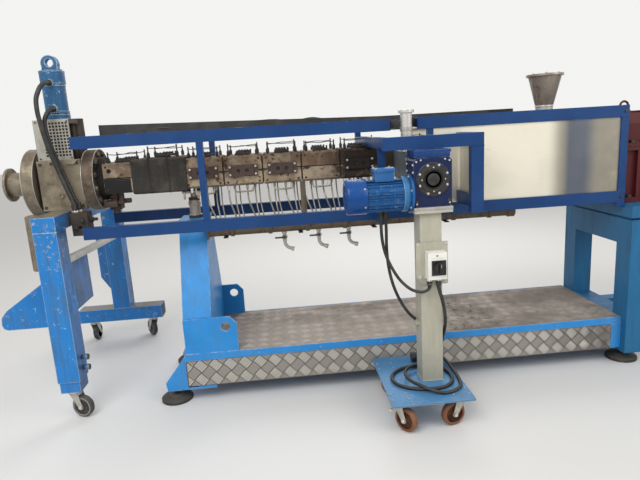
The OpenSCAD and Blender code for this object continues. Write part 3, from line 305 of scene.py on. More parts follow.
paints = {  # paint, bare steel, dirt, wear, grime, gloss, scale
    "azurePaint": ((0.022, 0.245, 0.62), (0.42, 0.5, 0.58), (0.09, 0.15, 0.22), 0.5, 0.4, 0.34, 1.0),
    "standPaint": ((0.016, 0.2, 0.56), (0.46, 0.56, 0.64), (0.06, 0.1, 0.14), 0.85, 0.6, 0.34, 1.4),
    "drivePaint": ((0.011, 0.13, 0.29), (0.2, 0.27, 0.34), (0.03, 0.05, 0.06), 0.3, 0.4, 0.42, 1.0),
    "guardPaint": ((0.004, 0.044, 0.165), (0.13, 0.2, 0.34), (0.02, 0.035, 0.075),
        0.34, 0.3, 0.36, 1.2),
    "gearboxPaint": ((0.005, 0.014, 0.065), (0.14, 0.17, 0.26), (0.02, 0.025, 0.04),
        0.55, 0.4, 0.34, 2.0),
    "motorPaint": ((0.01, 0.095, 0.29), (0.26, 0.38, 0.46), (0.03, 0.06, 0.1), 0.35, 0.35, 0.28, 2.0),
    "cowlPaint": ((0.002, 0.056, 0.235), (0.26, 0.38, 0.46), (0.02, 0.05, 0.12),
        0.35, 0.25, 0.22, 2.0),
    "actuatorPaint": ((0.022, 0.11, 0.245), (0.42, 0.52, 0.58), (0.03, 0.06, 0.09),
        0.95, 0.5, 0.42, 2.0),
    "dollyPaint": ((0.07, 0.235, 0.46), (0.3, 0.32, 0.34), (0.13, 0.16, 0.19), 0.7, 0.55, 0.42, 1.6),
    "postPaint": ((0.43, 0.415, 0.335), (0.24, 0.22, 0.18), (0.24, 0.215, 0.165),
        0.45, 0.35, 0.5, 1.6),
    "gearRed": ((0.085, 0.01, 0.012), (0.2, 0.17, 0.16), (0.03, 0.014, 0.014), 0.3, 0.4, 0.4, 1.0),
    "couplingYellow": ((0.62, 0.36, 0.02), (0.3, 0.28, 0.24), (0.18, 0.12, 0.05),
        0.4, 0.4, 0.42, 1.2),
    "driveMotorPaint": ((0.1, 0.13, 0.155), (0.3, 0.3, 0.3), (0.05, 0.05, 0.05),
        0.35, 0.45, 0.42, 1.2),
    "manifoldPaint": ((0.14, 0.105, 0.07), (0.26, 0.22, 0.16), (0.05, 0.036, 0.024),
        0.6, 0.8, 0.55, 2.0),
    "feederPaint": ((0.14, 0.17, 0.185), (0.3, 0.3, 0.28), (0.08, 0.06, 0.045), 0.5, 0.6, 0.45, 1.5),
    "coverBrown": ((0.072, 0.045, 0.038), (0.18, 0.135, 0.105), (0.03, 0.02, 0.015),
        0.5, 0.6, 0.55, 2.5),
    "lidPaint": ((0.02, 0.12, 0.34), (0.3, 0.42, 0.5), (0.04, 0.08, 0.13), 0.5, 0.3, 0.3, 2.0),
    "shieldPaint": ((0.03, 0.16, 0.36), (0.34, 0.46, 0.54), (0.05, 0.09, 0.14), 0.9, 0.4, 0.3, 3.0),
    "capBlue": ((0.004, 0.042, 0.185), (0.13, 0.2, 0.34), (0.02, 0.035, 0.075), 0.6, 0.3, 0.36, 2.0),
    "stayPaint": ((0.62, 0.58, 0.5), (0.3, 0.26, 0.2), (0.25, 0.21, 0.16), 0.4, 0.5, 0.4, 2.0),
    # pale cream for the painted highlight on the post's corners
    "postCornerHighlight": ((0.55, 0.53, 0.47), (0.3, 0.28, 0.24), (0.24, 0.21, 0.16), 0.6, 0.5, 0.4, 3.0),
    "beamEnd": ((0.035, 0.055, 0.08), (0.1, 0.14, 0.18), (0.03, 0.03, 0.03), 0.6, 0.6, 0.5, 2.0),
    "endCapBlue": ((0.045, 0.075, 0.23), (0.2, 0.25, 0.36), (0.03, 0.04, 0.08), 0.6, 0.4, 0.4, 2.0),
}
metals = {  # metal, stain, rust, stained, rusty, gloss, scale, brushed, shine
    "skirtTread": ((0.66, 0.63, 0.58), (0.5, 0.46, 0.4), (0.26, 0.15, 0.09), 0.35, 0.0, 0.44, 1.0,
        1.0, 0.45),
    "deckTread": ((0.43, 0.38, 0.33), (0.31, 0.265, 0.22), (0.16, 0.08, 0.04), 0.6, 0.05, 0.55,
        0.9, 1.0, 0.3),
    "deckSteel": ((0.3, 0.26, 0.225), (0.21, 0.175, 0.145), (0.15, 0.07, 0.035), 0.6, 0.05, 0.6,
        0.9, 1.0, 0.3),
    "skirtSteel": ((0.1, 0.09, 0.078), (0.075, 0.065, 0.055), (0.22, 0.12, 0.07), 0.5, 0.0, 0.6,
        1.0, 1.0, 0.3),
    "darkSteel": ((0.085, 0.068, 0.052), (0.03, 0.022, 0.017), (0.095, 0.038, 0.017),
        0.7, 0.4, 0.5, 2.0),
    "bareSteel": ((0.5, 0.49, 0.46), (0.28, 0.25, 0.2), (0.2, 0.11, 0.06), 0.4, 0.02, 0.34, 1.5),
    "headSteel": ((0.285, 0.245, 0.18), (0.115, 0.085, 0.055), (0.1, 0.048, 0.026),
        0.8, 0.2, 0.46, 1.3),
    "shellBronze": ((0.39, 0.315, 0.225), (0.17, 0.115, 0.07), (0.06, 0.026, 0.014),
        0.8, 0.42, 0.44, 1.6),
    "brightScrew": ((0.7, 0.69, 0.64), (0.45, 0.41, 0.34), (0.25, 0.14, 0.08), 0.3, 0.0, 0.28, 4.0),
    "leverSteel": ((0.1, 0.085, 0.07), (0.045, 0.035, 0.03), (0.12, 0.05, 0.025),
        0.5, 0.25, 0.45, 4.0),
    "zincPlate": ((0.52, 0.5, 0.45), (0.28, 0.24, 0.19), (0.2, 0.1, 0.055), 0.5, 0.1, 0.34, 4.0),
    "tubeAlloy": ((0.36, 0.34, 0.285), (0.17, 0.145, 0.11), (0.15, 0.08, 0.04), 0.6, 0.05, 0.44, 4.0),
    "hopperSteel": ((0.34, 0.295, 0.25), (0.15, 0.11, 0.08), (0.12, 0.07, 0.04),
        0.6, 0.05, 0.26, 2.0),
    "coverSteel": ((0.4, 0.385, 0.34), (0.25, 0.225, 0.18), (0.16, 0.1, 0.06), 0.6, 0.1, 0.4, 1.6),
    "jackSteel": ((0.46, 0.42, 0.36), (0.2, 0.145, 0.1), (0.16, 0.065, 0.03), 0.7, 0.45, 0.28, 2.5),
    "rustySteel": ((0.2, 0.14, 0.1), (0.12, 0.07, 0.04), (0.2, 0.075, 0.03), 0.7, 0.8, 0.5, 3.0),
    "brightZinc": ((0.66, 0.65, 0.6), (0.4, 0.36, 0.3), (0.24, 0.13, 0.07), 0.4, 0.1, 0.28, 4.0),
    "polishedSteel": ((0.66, 0.645, 0.6), (0.42, 0.39, 0.33), (0.3, 0.2, 0.12), 0.25, 0.0, 0.26, 1.5),
    "footSteel": ((0.46, 0.45, 0.44), (0.25, 0.22, 0.18), (0.2, 0.1, 0.05), 0.6, 0.1, 0.42, 2.0),
    "panelFront": ((0.8, 0.755, 0.63), (0.72, 0.665, 0.54), (0.25, 0.17, 0.09), 0.4, -0.9, 0.3,
        0.5, 0.2, 0.5),
    # the front panel's cream, darker for the sideways return panel: painted shade, with a little more
    # staining
    "panelSideShaded": ((0.66, 0.62, 0.51), (0.56, 0.515, 0.41), (0.25, 0.17, 0.09), 0.4, -0.9, 0.34,
        0.7, 0.2, 0.5),
}
plastics = {  # base, dust, dusty, gloss, scale
    "darkWire": ((0.022, 0.018, 0.014), (0.075, 0.06, 0.045), 0.5, 0.6, 3.0),
    "padRubber": ((0.016, 0.016, 0.015), (0.13, 0.115, 0.09), 0.45, 0.62, 1.0),
    "cordRubber": ((0.01, 0.01, 0.01), (0.1, 0.095, 0.08), 0.35, 0.45, 2.0),
    "ductPlastic": ((0.014, 0.014, 0.016), (0.1, 0.095, 0.09), 0.4, 0.5, 1.0),
    "blackPlastic": ((0.01, 0.01, 0.009), (0.085, 0.075, 0.06), 0.4, 0.5, 3.0),
    "switchWhite": ((0.8, 0.8, 0.74), (0.5, 0.46, 0.38), 0.2, 0.32, 3.0),
    "knobBlack": ((0.009, 0.009, 0.009), (0.1, 0.095, 0.085), 0.2, 0.3, 3.0),
    "wheelDark": ((0.028, 0.028, 0.03), (0.18, 0.165, 0.14), 0.45, 0.58, 3.0),
    "cleanWhite": ((0.74, 0.73, 0.69), (0.4, 0.36, 0.29), 0.2, 0.38, 4.0),
    "wheelAmber": ((0.19, 0.062, 0.022), (0.26, 0.17, 0.11), 0.4, 0.45, 3.0),
    "wheelGrey": ((0.2, 0.195, 0.19), (0.32, 0.29, 0.25), 0.5, 0.55, 3.0),
    "padBrown": ((0.085, 0.062, 0.045), (0.17, 0.135, 0.1), 0.6, 0.5, 2.0),
    "wrapCloth": ((0.026, 0.023, 0.02), (0.13, 0.115, 0.095), 0.5, 0.85, 1.0),
    "scratchGrey": ((0.55, 0.52, 0.44), (0.5, 0.46, 0.38), 0.1, 0.5, 1.0),
    # near-black: painted shade in the head's gaps, behind the perforated sheet and in slots; also dark
    # seams, and a dark patch and hole on the first shell's side
    "shadeAndSeamBlack": ((0.006, 0.005, 0.005), (0.03, 0.025, 0.02), 0.3, 0.8, 1.0),
}


def along(x):
    return (x - originX) / 1000


# where a finish changes over the machine: axis, rise, fall, colour, speck
tints = {
    # front panel: darker grey-brown from x 2120 and a bluish-grey band: painted shade; speckled brown
    # beyond x 2430
    "panelFront": [("X", (along(2120), along(2230)), None, (0.30, 0.275, 0.225), None),
                   ("X", (along(2215), along(2262)), (along(2340), along(2440)),
                    (0.12, 0.135, 0.165), None),
                   ("X", (along(2430), along(2540)), None, (0.44, 0.39, 0.26), (2.2, 0.42, 0.60))],
    # alternate squares toned: painted sheen of the differently turned bars
    "skirtTread": [("squares", (0.1094, 0.0, -0.3597), (0, math.pi / 4, 0), (0.36, 0.335, 0.30),
                    (1, 0, 1)),
                   ("X", (along(2050), along(2500)), None, (0.20, 0.18, 0.16), (16.0, 0.30, 0.62))],
    "skirtSteel": [("X", (along(1900), along(2450)), None, (0.055, 0.048, 0.042), None)],
    # alternate squares toned: painted sheen of the differently turned bars
    "deckTread": [("squares", (0.1584, -0.1584, 0.0), (0, 0, -math.pi / 4), (0.31, 0.27, 0.23),
                   (1, 1, 0)),
                  ("X", (along(1250), along(1800)), None, (0.20, 0.165, 0.135), (3.4, 0.40, 0.60)),
                  ("Y", (-0.22, 0.15), None, (0.19, 0.16, 0.13), (4.0, 0.42, 0.60)),
                  ("X", (along(1420), along(1560)), (along(1830), along(1980)), (0.05, 0.04, 0.032),
                   (30.0, 0.57, 0.62))],
    "deckSteel": [("X", (along(1250), along(1800)), None, (0.15, 0.125, 0.10), (3.4, 0.40, 0.60)),
                  ("X", (along(1420), along(1560)), (along(1830), along(1980)), (0.05, 0.04, 0.032),
                   (30.0, 0.57, 0.62))],
    # head steel darker in patches from the big flange rightwards: painted shadow on the flange's right
    # face and what lies beyond it
    "headSteel": [("X", (along(-492), along(-480)), None, (0.085, 0.060, 0.042), (5.0, 0.30, 0.55))],
    # right-facing sides darker blue: painted shade; the next entry adds fine dark specks on those sides
    "standPaint": [("right", (0.6, 0.95), None, (0.05, 0.10, 0.20), (4.0, 0.35, 0.70)),
                   ("right", (0.6, 0.95), None, (0.045, 0.05, 0.055), (60.0, 0.60, 0.66)),
                   ("Z", (0.80, 0.96), (1.08, 1.14), (0.34, 0.31, 0.25), (38.0, 0.575, 0.61)),
                   ("up", (0.6, 0.95), None, (0.19, 0.155, 0.11), (7.0, 0.34, 0.52))],
    "shellBronze": [("Z", (1.296, 1.304), None, (0.165, 0.105, 0.068), (7.0, 0.36, 0.60)),
                    ("X", (along(830), along(1010)), None, (0.030, 0.018, 0.012), (8.0, 0.30, 0.52)),
                    ("Z", (1.20, 1.21), None, (0.045, 0.027, 0.018), (22.0, 0.57, 0.64))],
    "coverBrown": [("X", (along(900), along(1000)), None, (0.014, 0.010, 0.008), None)],
    "wrapCloth": [("up", (-1, -0.9), None, (0.10, 0.09, 0.075), (140.0, 0.60, 0.66))],
    "azurePaint": [("up", (0.7, 0.98), None, (0.10, 0.26, 0.50), (9.0, 0.42, 0.62))],
    # right-facing sides darker: painted shade
    "postPaint": [("right", (0.6, 0.95), None, (0.16, 0.15, 0.115), (8.0, 0.36, 0.60))],
}
# family: its finishes, the height of its grain, the rounding of edges, the specular level
families = {"wornPaint": (paints, 0.0005, 0.0025, 0.3), "stainedMetal": (metals, 0.0005, 0.002, 0.5),
            "dustyPlastic": (plastics, 0.0003, 0.0015, 0.5)}
finishes = {}
for groupName, (table, bump, rounded, specular) in families.items():
    for name, values in table.items():
        height = 0.0 if name.startswith("panel") else bump
        finishes[name] = makeMaterial(name, groupName, values, height, rounded, specular)
print("materials made:", len(finishes))

nodeFinish = {
    "azurePaint": ["base_frame", "deck_edges", "barrel_pedestal", "pedestal_lugs"],
    "standPaint": ["stand_front_leg", "stand_rear_frame", "stand_side_arm"],
    "drivePaint": ["drive_frame"],
    "guardPaint": ["guard_front_frame", "guard_rear_frame", "guard_bump_out"],
    "deckSteel": ["deck_plate"], "skirtSteel": ["skirt_plates"], "padRubber": ["levelling_pads"],
    "darkSteel": ["barrel_jack", "barrel", "hose_block", "actuator_yoke"],
    "shellBronze": ["heater_shells"], "coverBrown": ["terminal_covers"],
    "hopperSteel": ["feed_hopper"], "bareSteel": ["feed_pipe", "perforated_cover", "cooling_valves"],
    "headSteel": ["die_head", "head_outlet"], "actuatorPaint": ["actuator"],
    "cordRubber": ["actuator_hoses", "motor_cables", "supply_cable"],
    "ductPlastic": ["cable_duct"], "manifoldPaint": ["cooling_manifold"],
    "tubeAlloy": ["cooling_tubes"], "panelFront": ["guard_panels"], "feederPaint": ["side_feeder"],
    "gearboxPaint": ["feeder_gearbox"], "motorPaint": ["feeder_motor"],
    "postPaint": ["feeder_post"], "switchWhite": ["switch_box"],
    "knobBlack": ["switch_knob", "supply_plug"], "dollyPaint": ["dolly_plate"],
    "gearRed": ["gear_unit"], "couplingYellow": ["coupling_guard"],
    "driveMotorPaint": ["main_motor"],
    "zincPlate": [n for n in nodes if "_fork_" in n],
    "wheelAmber": [n for n in nodes if n.startswith("dolly_wheel")],
    "wheelDark": [n for n in nodes if n.startswith("stand_wheel")],
}
for finish, members in nodeFinish.items():
    for n in members:
        nodes[n].data.materials.clear()
        nodes[n].data.materials.append(finishes[finish])
unpainted = [n for n in nodes if n not in sum(nodeFinish.values(), []) and n != "insulation_wrap"]
print("nodes without a finish:", unpainted)


# free cords, along the same points as in part.scad
cordRoutes = {
    "supplyLead": dict(diameter=18, node="supply_cable", length=2.548, farEnd="plug", points=[
        [1364, -711, 716], [1364, -711, 698], [1370, -711, 670], [1384, -709, 620],
        [1397, -700, 560], [1406, -680, 490], [1409, -642, 420], [1408, -596, 350],
        [1404, -552, 270], [1390, -516, 208], [1350, -500, 184], [1280, -500, 181],
        [1210, -520, 180], [1150, -570, 180], [1128, -640, 180], [1150, -708, 180],
        [1210, -756, 180], [1290, -778, 180], [1370, -768, 180], [1424, -724, 180],
        [1444, -655, 180], [1438, -585, 180], [1410, -538, 181], [1345, -519, 190],
        [1270, -534, 199], [1218, -582, 200], [1200, -652, 200], [1216, -720, 200],
        [1250, -774, 200], [1296, -812, 190], [1350, -828, 180], [1408, -814, 180],
        [1455, -770, 180], [1472, -690, 180], [1476, -610, 181], [1474, -540, 185],
        [1464, -484, 192], [1446, -444, 197], [1420, -430, 198.5], [1400, -430, 198.5]]),
    "motorLead": dict(diameter=16, node="motor_cables", length=0.550, farEnd="object", points=[
        [1100, -620, 1068], [1100, -620, 1000], [1104, -622, 930], [1118, -630, 860],
        [1146, -645, 790], [1182, -665, 730], [1228, -690, 688], [1276, -704, 674],
        [1308, -710, 684], [1318, -711, 700], [1318, -711, 716]]),
    "clampLead": dict(diameter=16, node="motor_cables", length=0.606, farEnd="object", points=[
        [1124, -620, 1068], [1126, -618, 990], [1126, -614, 890], [1134, -610, 790],
        [1156, -608, 690], [1192, -608, 600], [1234, -609, 532], [1268, -610, 498]]),
    "hoseUpper": dict(diameter=24, node="actuator_hoses", length=0.769, farEnd="object", points=[
        [-595, -122, 1836], [-595, -140, 1836], [-602, -168, 1830], [-613, -192, 1812],
        [-623, -210, 1784], [-635, -220, 1744], [-636, -226, 1678], [-630, -226, 1623],
        [-622, -224, 1553], [-608, -220, 1474], [-589, -217, 1401], [-569, -216, 1328],
        [-546, -219, 1253], [-529, -222, 1200], [-520, -224, 1166], [-520, -224, 1148]]),
    "hoseLower": dict(diameter=24, node="actuator_hoses", length=0.612, farEnd="object", points=[
        [-592, -122, 1698], [-592, -138, 1698], [-600, -160, 1690], [-611, -177, 1668],
        [-624, -186, 1630], [-622, -189, 1574], [-613, -188, 1509], [-597, -186, 1443],
        [-579, -184, 1377], [-559, -185, 1310], [-537, -190, 1242], [-520, -193, 1192],
        [-509, -194, 1164], [-509, -194, 1148]]),
}


def smoothRoute(points, steps):
    route = [at(*p) for p in points]
    ends = [2 * route[0] - route[1], *route, 2 * route[-1] - route[-2]]
    line = []
    for i in range(1, len(ends) - 2):
        a, b, c, d = ends[i - 1:i + 3]
        for k in range(steps):
            t = k / steps
            line.append(0.5 * (2 * b + (c - a) * t + (2 * a - 5 * b + 4 * c - d) * t * t
                               + (3 * b - a - 3 * c + d) * t ** 3))
    return line + [route[-1]]


def pathCurve(name, line, diameter, sides, closed=False):
    data = bpy.data.curves.new(name, "CURVE")
    data.dimensions = "3D"
    data.bevel_depth = diameter / 2000
    data.bevel_resolution = sides
    data.use_fill_caps = not closed
    spline = data.splines.new("POLY")
    spline.points.add(len(line) - 1)
    for point, place in zip(spline.points, line):
        point.co = (*place, 1)
    spline.use_cyclic_u = closed
    curve = bpy.data.objects.new(name, data)
    bpy.context.scene.collection.objects.link(curve)
    return curve


def layCord(name, values, steps=4, sides=5):
    line = smoothRoute(values["points"], steps)
    cord = pathCurve(name, line, values["diameter"], sides)
    cord.data.materials.append(finishes["cordRubber"])
    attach(cord, machineBody)
    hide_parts(values["node"])
    print(name, "length", round(sum((b - a).length for a, b in zip(line, line[1:])), 3))


for name, values in cordRoutes.items():
    layCord(name, values)


# modelling helpers; places and sizes are the machine's millimetres
zero = (0, 0, 0)
upward, downward = (0, 0, 1), (0, 0, -1)
toRight, toLeft = (1, 0, 0), (-1, 0, 0)
toFront, toRear = (0, -1, 0), (0, 1, 0)


def choose(*pieces):
    bpy.ops.object.select_all(action="DESELECT")
    for piece in pieces:
        piece.select_set(True)
    bpy.context.view_layer.objects.active = pieces[0]


def settle():
    bpy.ops.object.transform_apply(location=True, rotation=True, scale=True)
    return bpy.context.object


# a box from one corner to the other
def block(x0, x1, y0, y1, z0, z1, bevel=0.0):
    low, high = at(x0, y0, z0), at(x1, y1, z1)
    bpy.ops.object.select_all(action="DESELECT")
    bpy.ops.mesh.primitive_cube_add(size=1, location=(low + high) / 2, scale=high - low)
    settle()
    if bevel:
        bpy.ops.object.mode_set(mode="EDIT")
        bpy.ops.mesh.bevel(offset=bevel / 1000, segments=2, affect="EDGES")
        bpy.ops.object.mode_set(mode="OBJECT")
    return bpy.context.object


# a disc drawn out along its axis, ring by ring: (how far, radius)
def turned(start, direction, profile, sides=24):
    way = Vector(direction).normalized()
    bpy.ops.object.select_all(action="DESELECT")
    bpy.ops.mesh.primitive_circle_add(vertices=sides, radius=profile[0][1] / 1000, fill_type="NGON",
                                      location=at(*start) + way * profile[0][0] / 1000,
                                      rotation=way.to_track_quat("Z", "Y").to_euler())
    settle()
    bpy.ops.object.mode_set(mode="EDIT")
    for (before, r), (after, s) in zip(profile, profile[1:]):
        bpy.ops.mesh.extrude_region_move(
            TRANSFORM_OT_translate={"value": way * (after - before) / 1000})
        if s != r:
            bpy.ops.transform.resize(value=(s / r,) * 3,
                                     center_override=at(*start) + way * after / 1000)
    bpy.ops.mesh.select_all(action="SELECT")
    bpy.ops.mesh.normals_make_consistent(inside=False)
    bpy.ops.object.mode_set(mode="OBJECT")
    return bpy.context.object


def pickFaces(piece, test):
    choose(piece)
    bpy.ops.object.mode_set(mode="EDIT")
    bpy.ops.mesh.select_mode(type="FACE")
    bpy.ops.mesh.select_all(action="DESELECT")
    bpy.ops.object.mode_set(mode="OBJECT")
    for face in piece.data.polygons:
        face.select = test(face)
    bpy.ops.object.mode_set(mode="EDIT")


def doneEditing():
    bpy.ops.object.mode_set(mode="OBJECT")
    return bpy.context.object


def applied(piece, name):
    choose(piece)
    bpy.ops.object.modifier_apply(modifier=name)
    return piece


def repeated(piece, count, step):
    row = piece.modifiers.new("row", "ARRAY")
    row.use_relative_offset, row.use_constant_offset = False, True
    row.constant_offset_displace = Vector(step) / 1000
    row.count = count
    return applied(piece, "row")


def cutOff(piece, place, normal):
    choose(piece)
    bpy.ops.object.mode_set(mode="EDIT")
    bpy.ops.mesh.select_all(action="SELECT")
    bpy.ops.mesh.bisect(plane_co=place, plane_no=normal, clear_outer=True)
    return doneEditing()


def twinOf(piece, move):
    twin = piece.copy()
    twin.data = piece.data.copy()
    twin.data.transform(move)
    bpy.context.scene.collection.objects.link(twin)
    return twin


def moved(piece, move):
    piece.data.transform(move)
    return piece


def spread(model, moves):
    made = [twinOf(model, move) for move in moves]
    bpy.data.objects.remove(model)
    return made


# moves a model that was made about the machine's own zero point, its top towards a direction
def facing(place, direction=upward, turn=0.0):
    way = Vector(direction).normalized().to_track_quat("Z", "Y").to_matrix().to_4x4()
    return (Matrix.Translation(at(*place)) @ way @ Matrix.Rotation(math.radians(turn), 4, "Z")
            @ Matrix.Translation(-at(0, 0, 0)))


def wire(points, diameter, steps=5, sides=2, closed=False):
    piece = pathCurve("wire", smoothRoute(points, steps), diameter, sides, closed)
    choose(piece)
    bpy.ops.object.convert(target="MESH")
    return bpy.context.object


def joined(*pieces):
    choose(*pieces)
    bpy.ops.object.join()
    return bpy.context.object


def resized(piece, test, scale, middle):
    pickFaces(piece, test)
    bpy.ops.transform.resize(value=scale, center_override=middle)
    doneEditing()


# points of a circle that stands across an axis, 0 for x, 1 for y and 2 for z
def circlePoints(middle, radius, count, axis):
    points = []
    for i in range(count):
        turn = 2 * math.pi * i / count
        off = [radius * math.cos(turn), radius * math.sin(turn)]
        off.insert(axis, 0)
        points.append([m + o for m, o in zip(middle, off)])
    return points


def finished(name, pieces, finish, body=machineBody, smooth=38):
    choose(*pieces)
    if len(pieces) > 1:
        bpy.ops.object.join()
    piece = bpy.context.object
    piece.name = name
    piece.data.materials.clear()
    piece.data.materials.append(finishes[finish])
    bpy.ops.object.shade_smooth_by_angle(angle=math.radians(smooth))
    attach(piece, body)
    return piece


def hexBolt(across, height):
    r = across * 0.577
    head = turned(zero, upward, [(0, r), (height * 0.85, r), (height, r * 0.82)], 6)
    ring = turned(zero, upward, [(0, r * 1.25), (height * 0.22, r * 1.25)], 16)
    return joined(head, ring)


def socketBolt(across, height):
    r = across / 2
    return turned(zero, upward, [(0, r), (height * 0.86, r), (height, r * 0.88),
                  (height, r * 0.5), (height * 0.5, r * 0.48)], 12)


def hexNut(across, height, stud):
    r = across * 0.577
    nut = turned(zero, upward, [(0, r * 0.9), (height * 0.12, r), (height * 0.88, r),
                 (height, r * 0.9)], 6)
    end = turned(zero, upward, [(height * 0.9, stud), (height * 1.5, stud),
                 (height * 1.62, stud * 0.8)], 12)
    return joined(nut, end)


# raised tread on the deck and its skirts, five bars to a square, squares turned by 45 degrees
treadPattern = {"square": treadSquare, "bars": 5, "length": 50.0, "width": 7.4, "rise": 1.8}


def makeTread(name, length, width, move, finish):
    square, count = treadPattern["square"], treadPattern["bars"]
    pitch = square / count
    halfLength, halfWidth = treadPattern["length"] / 2, treadPattern["width"] / 2
    bar = block(-halfLength, halfLength, -halfWidth, halfWidth, 0, treadPattern["rise"])
    bar.data.transform(Matrix.Translation(-at(0, 0, 0)))
    resized(bar, lambda face: face.normal.z > 0.9, (0.9, 0.55, 1), (0, 0, 0))
    pickFaces(bar, lambda face: face.normal.z < -0.9)
    bpy.ops.mesh.delete(type="FACE")
    doneEditing()
    repeated(bar, count, (0, pitch, 0))
    bar.data.transform(Matrix.Translation((0, -pitch * (count - 1) / 2000, 0)))
    step = square / 1000
    quarter = Matrix.Rotation(math.pi / 2, 4, "Z")
    tile = [bar] + [twinOf(bar, move) for move in (
        Matrix.Translation((step, 0, 0)) @ quarter, Matrix.Translation((0, step, 0)) @ quarter,
        Matrix.Translation((step, step, 0)))]
    joined(*tile)
    span = (length + width) / math.sqrt(2) + square
    tiles = math.ceil(span / (2 * square)) + 1
    repeated(bar, tiles, (2 * square, 0, 0))
    repeated(bar, tiles, (0, 2 * square, 0))
    middle = (tiles * 2 - 1) * step / 2
    bar.data.transform(Matrix.Rotation(math.pi / 4, 4, "Z")
                       @ Matrix.Translation((-middle, -middle, 0)))
    for side in (1, -1):
        cutOff(bar, (side * length / 2000, 0, 0), (side, 0, 0))
        cutOff(bar, (0, side * width / 2000, 0), (0, side, 0))
    bar.data.transform(move)
    return finished(name, [bar], finish, smooth=20)


makeTread("skirtTreadFront", 2530, 150, Matrix.Translation(at(1271, -340.1, 177))
          @ Matrix.Rotation(math.pi / 2, 4, "X"), "skirtTread")
makeTread("skirtTreadRear", 2530, 150, Matrix.Translation(at(1271, 340.1, 177))
          @ Matrix.Rotation(-math.pi / 2, 4, "X"), "skirtTread")
makeTread("deckTread", 2420, 610, Matrix.Translation(at(1384, 0, 293.9)), "deckTread")
print("tread laid")


# barrel: what stands on the heater shells, section by section
barrelStart, sectionLength, sectionCount = -382.5, 225.0, 11
axisHeight, shellTop, shellBottom, shellSide = 1300.0, 1386.0, 1214.0, 125.0
heatedSections = [0, 1, 2, 3, 4, 5, 6, 8, 9, 10]
coveredSections = [2, 3, 4, 6, 8, 9, 10]
wrapEnds = (-227.5, 92.5)
shellFittings = {"posts": (34, 196), "postHeight": 62, "postRadius": 4, "sleeve": (9, 26),
                 "wire": 5, "connector": (72, 158), "reach": 92, "topBolts": (14, 112, 208),
                 "sideBolts": (22, 203), "boltReach": 112}


def sectionStart(k):
    return barrelStart + k * sectionLength


def makeShellFittings(values):
    sleeves, wires, connectors = [], [], []
    roll = random.Random(7)
    sleeveRadius, sleeveHeight = values["sleeve"]
    boltModel = hexBolt(9, 5)
    boltMoves = []
    for k in heatedSections:
        x = sectionStart(k)
        for side in (-1, 1):
            y = side * values["reach"]
            low = shellTop + 16 if wrapEnds[0] < x + 60 < wrapEnds[1] else shellTop
            tops = []
            for dx in values["posts"]:
                height = values["postHeight"] + roll.uniform(-8, 6)
                wires.append(turned((x + dx, y, low), upward, [(0, values["postRadius"]),
                                    (height, values["postRadius"]), (height + 3, 2)], 10))
                sleeves.append(turned((x + dx, y, low - 1), upward, [(0, sleeveRadius),
                                      (sleeveHeight, sleeveRadius), (sleeveHeight, sleeveRadius * 0.7),
                                      (sleeveHeight + 7, sleeveRadius * 0.6)], 14))
                tops.append((x + dx, y, low + height - 10))
            (xa, ya, za), (xb, _, zb) = tops
            middle = [(xa + (xb - xa) * t, ya + side * roll.uniform(-3, 3),
                       za + (zb - za) * t + roll.uniform(-5, 4)) for t in (0.25, 0.5, 0.75)]
            wires.append(wire([tops[0], *middle, tops[1]], values["wire"], 3, 1))
            c0, c1 = values["connector"]
            body = block(x + c0, x + c1, y - 13, y + 13, low, low + 15, 2.5)
            lid = block(x + c0 + 6, x + c1 - 26, y - 10, y + 10, low + 14, low + 24, 2)
            screws = [turned((x + c0 + 14 + i * 17, y, low + 14), upward,
                             [(0, 5), (13, 5), (13, 3), (11, 3)], 10) for i in range(5)]
            connectors += [body, lid, *screws]
            for dx in values["topBolts"]:
                if not wrapEnds[0] - 8 < x + dx < wrapEnds[1] + 8:
                    boltMoves.append(facing((x + dx, side * values["boltReach"], shellTop - 3),
                                            upward, dx))
            if not wrapEnds[0] - 20 < x + 60 < wrapEnds[1] + 20:
                for dx in values["sideBolts"]:
                    for z in (shellTop - 22, shellBottom + 22):
                        boltMoves.append(facing((x + dx, side * shellSide, z), (0, side, 0), dx + z))
    bolts = spread(boltModel, boltMoves)
    finished("shellConnectors", connectors + sleeves, "blackPlastic")
    finished("shellWires", wires, "darkWire")
    finished("shellBolts", bolts, "darkSteel")


makeShellFittings(shellFittings)


# steel straps over the joints between sections, and the seam along each shell
def makeSectionClamps():
    clamps, seams = [], []
    for k in heatedSections:
        x = sectionStart(k)
        for side in (-1, 1):
            if not wrapEnds[0] - 40 < x + 120 < wrapEnds[1] + 20:
                seams.append(block(x + 8, x + 217, side * (shellSide - 3), side * (shellSide + 1.2),
                                   axisHeight - 1.5, axisHeight + 1.5, 0.5))
    for k in range(1, sectionCount):
        x = sectionStart(k)
        if wrapEnds[0] < x < wrapEnds[1]:
            continue
        for side in (-1, 1):
            clamps.append(block(x - 1.0, x + 1.0, side * 112, side * 125.6, shellBottom + 2,
                                shellTop - 2))
    finished("shellSeams", seams, "darkWire")
    finished("sectionStraps", clamps, "darkSteel")


makeSectionClamps()


# bright screws, sockets and the link wires of the terminal covers
coverScrews = {"across": 10, "height": 5, "offset": (73, 22), "socket": 10.2, "wire": 5}


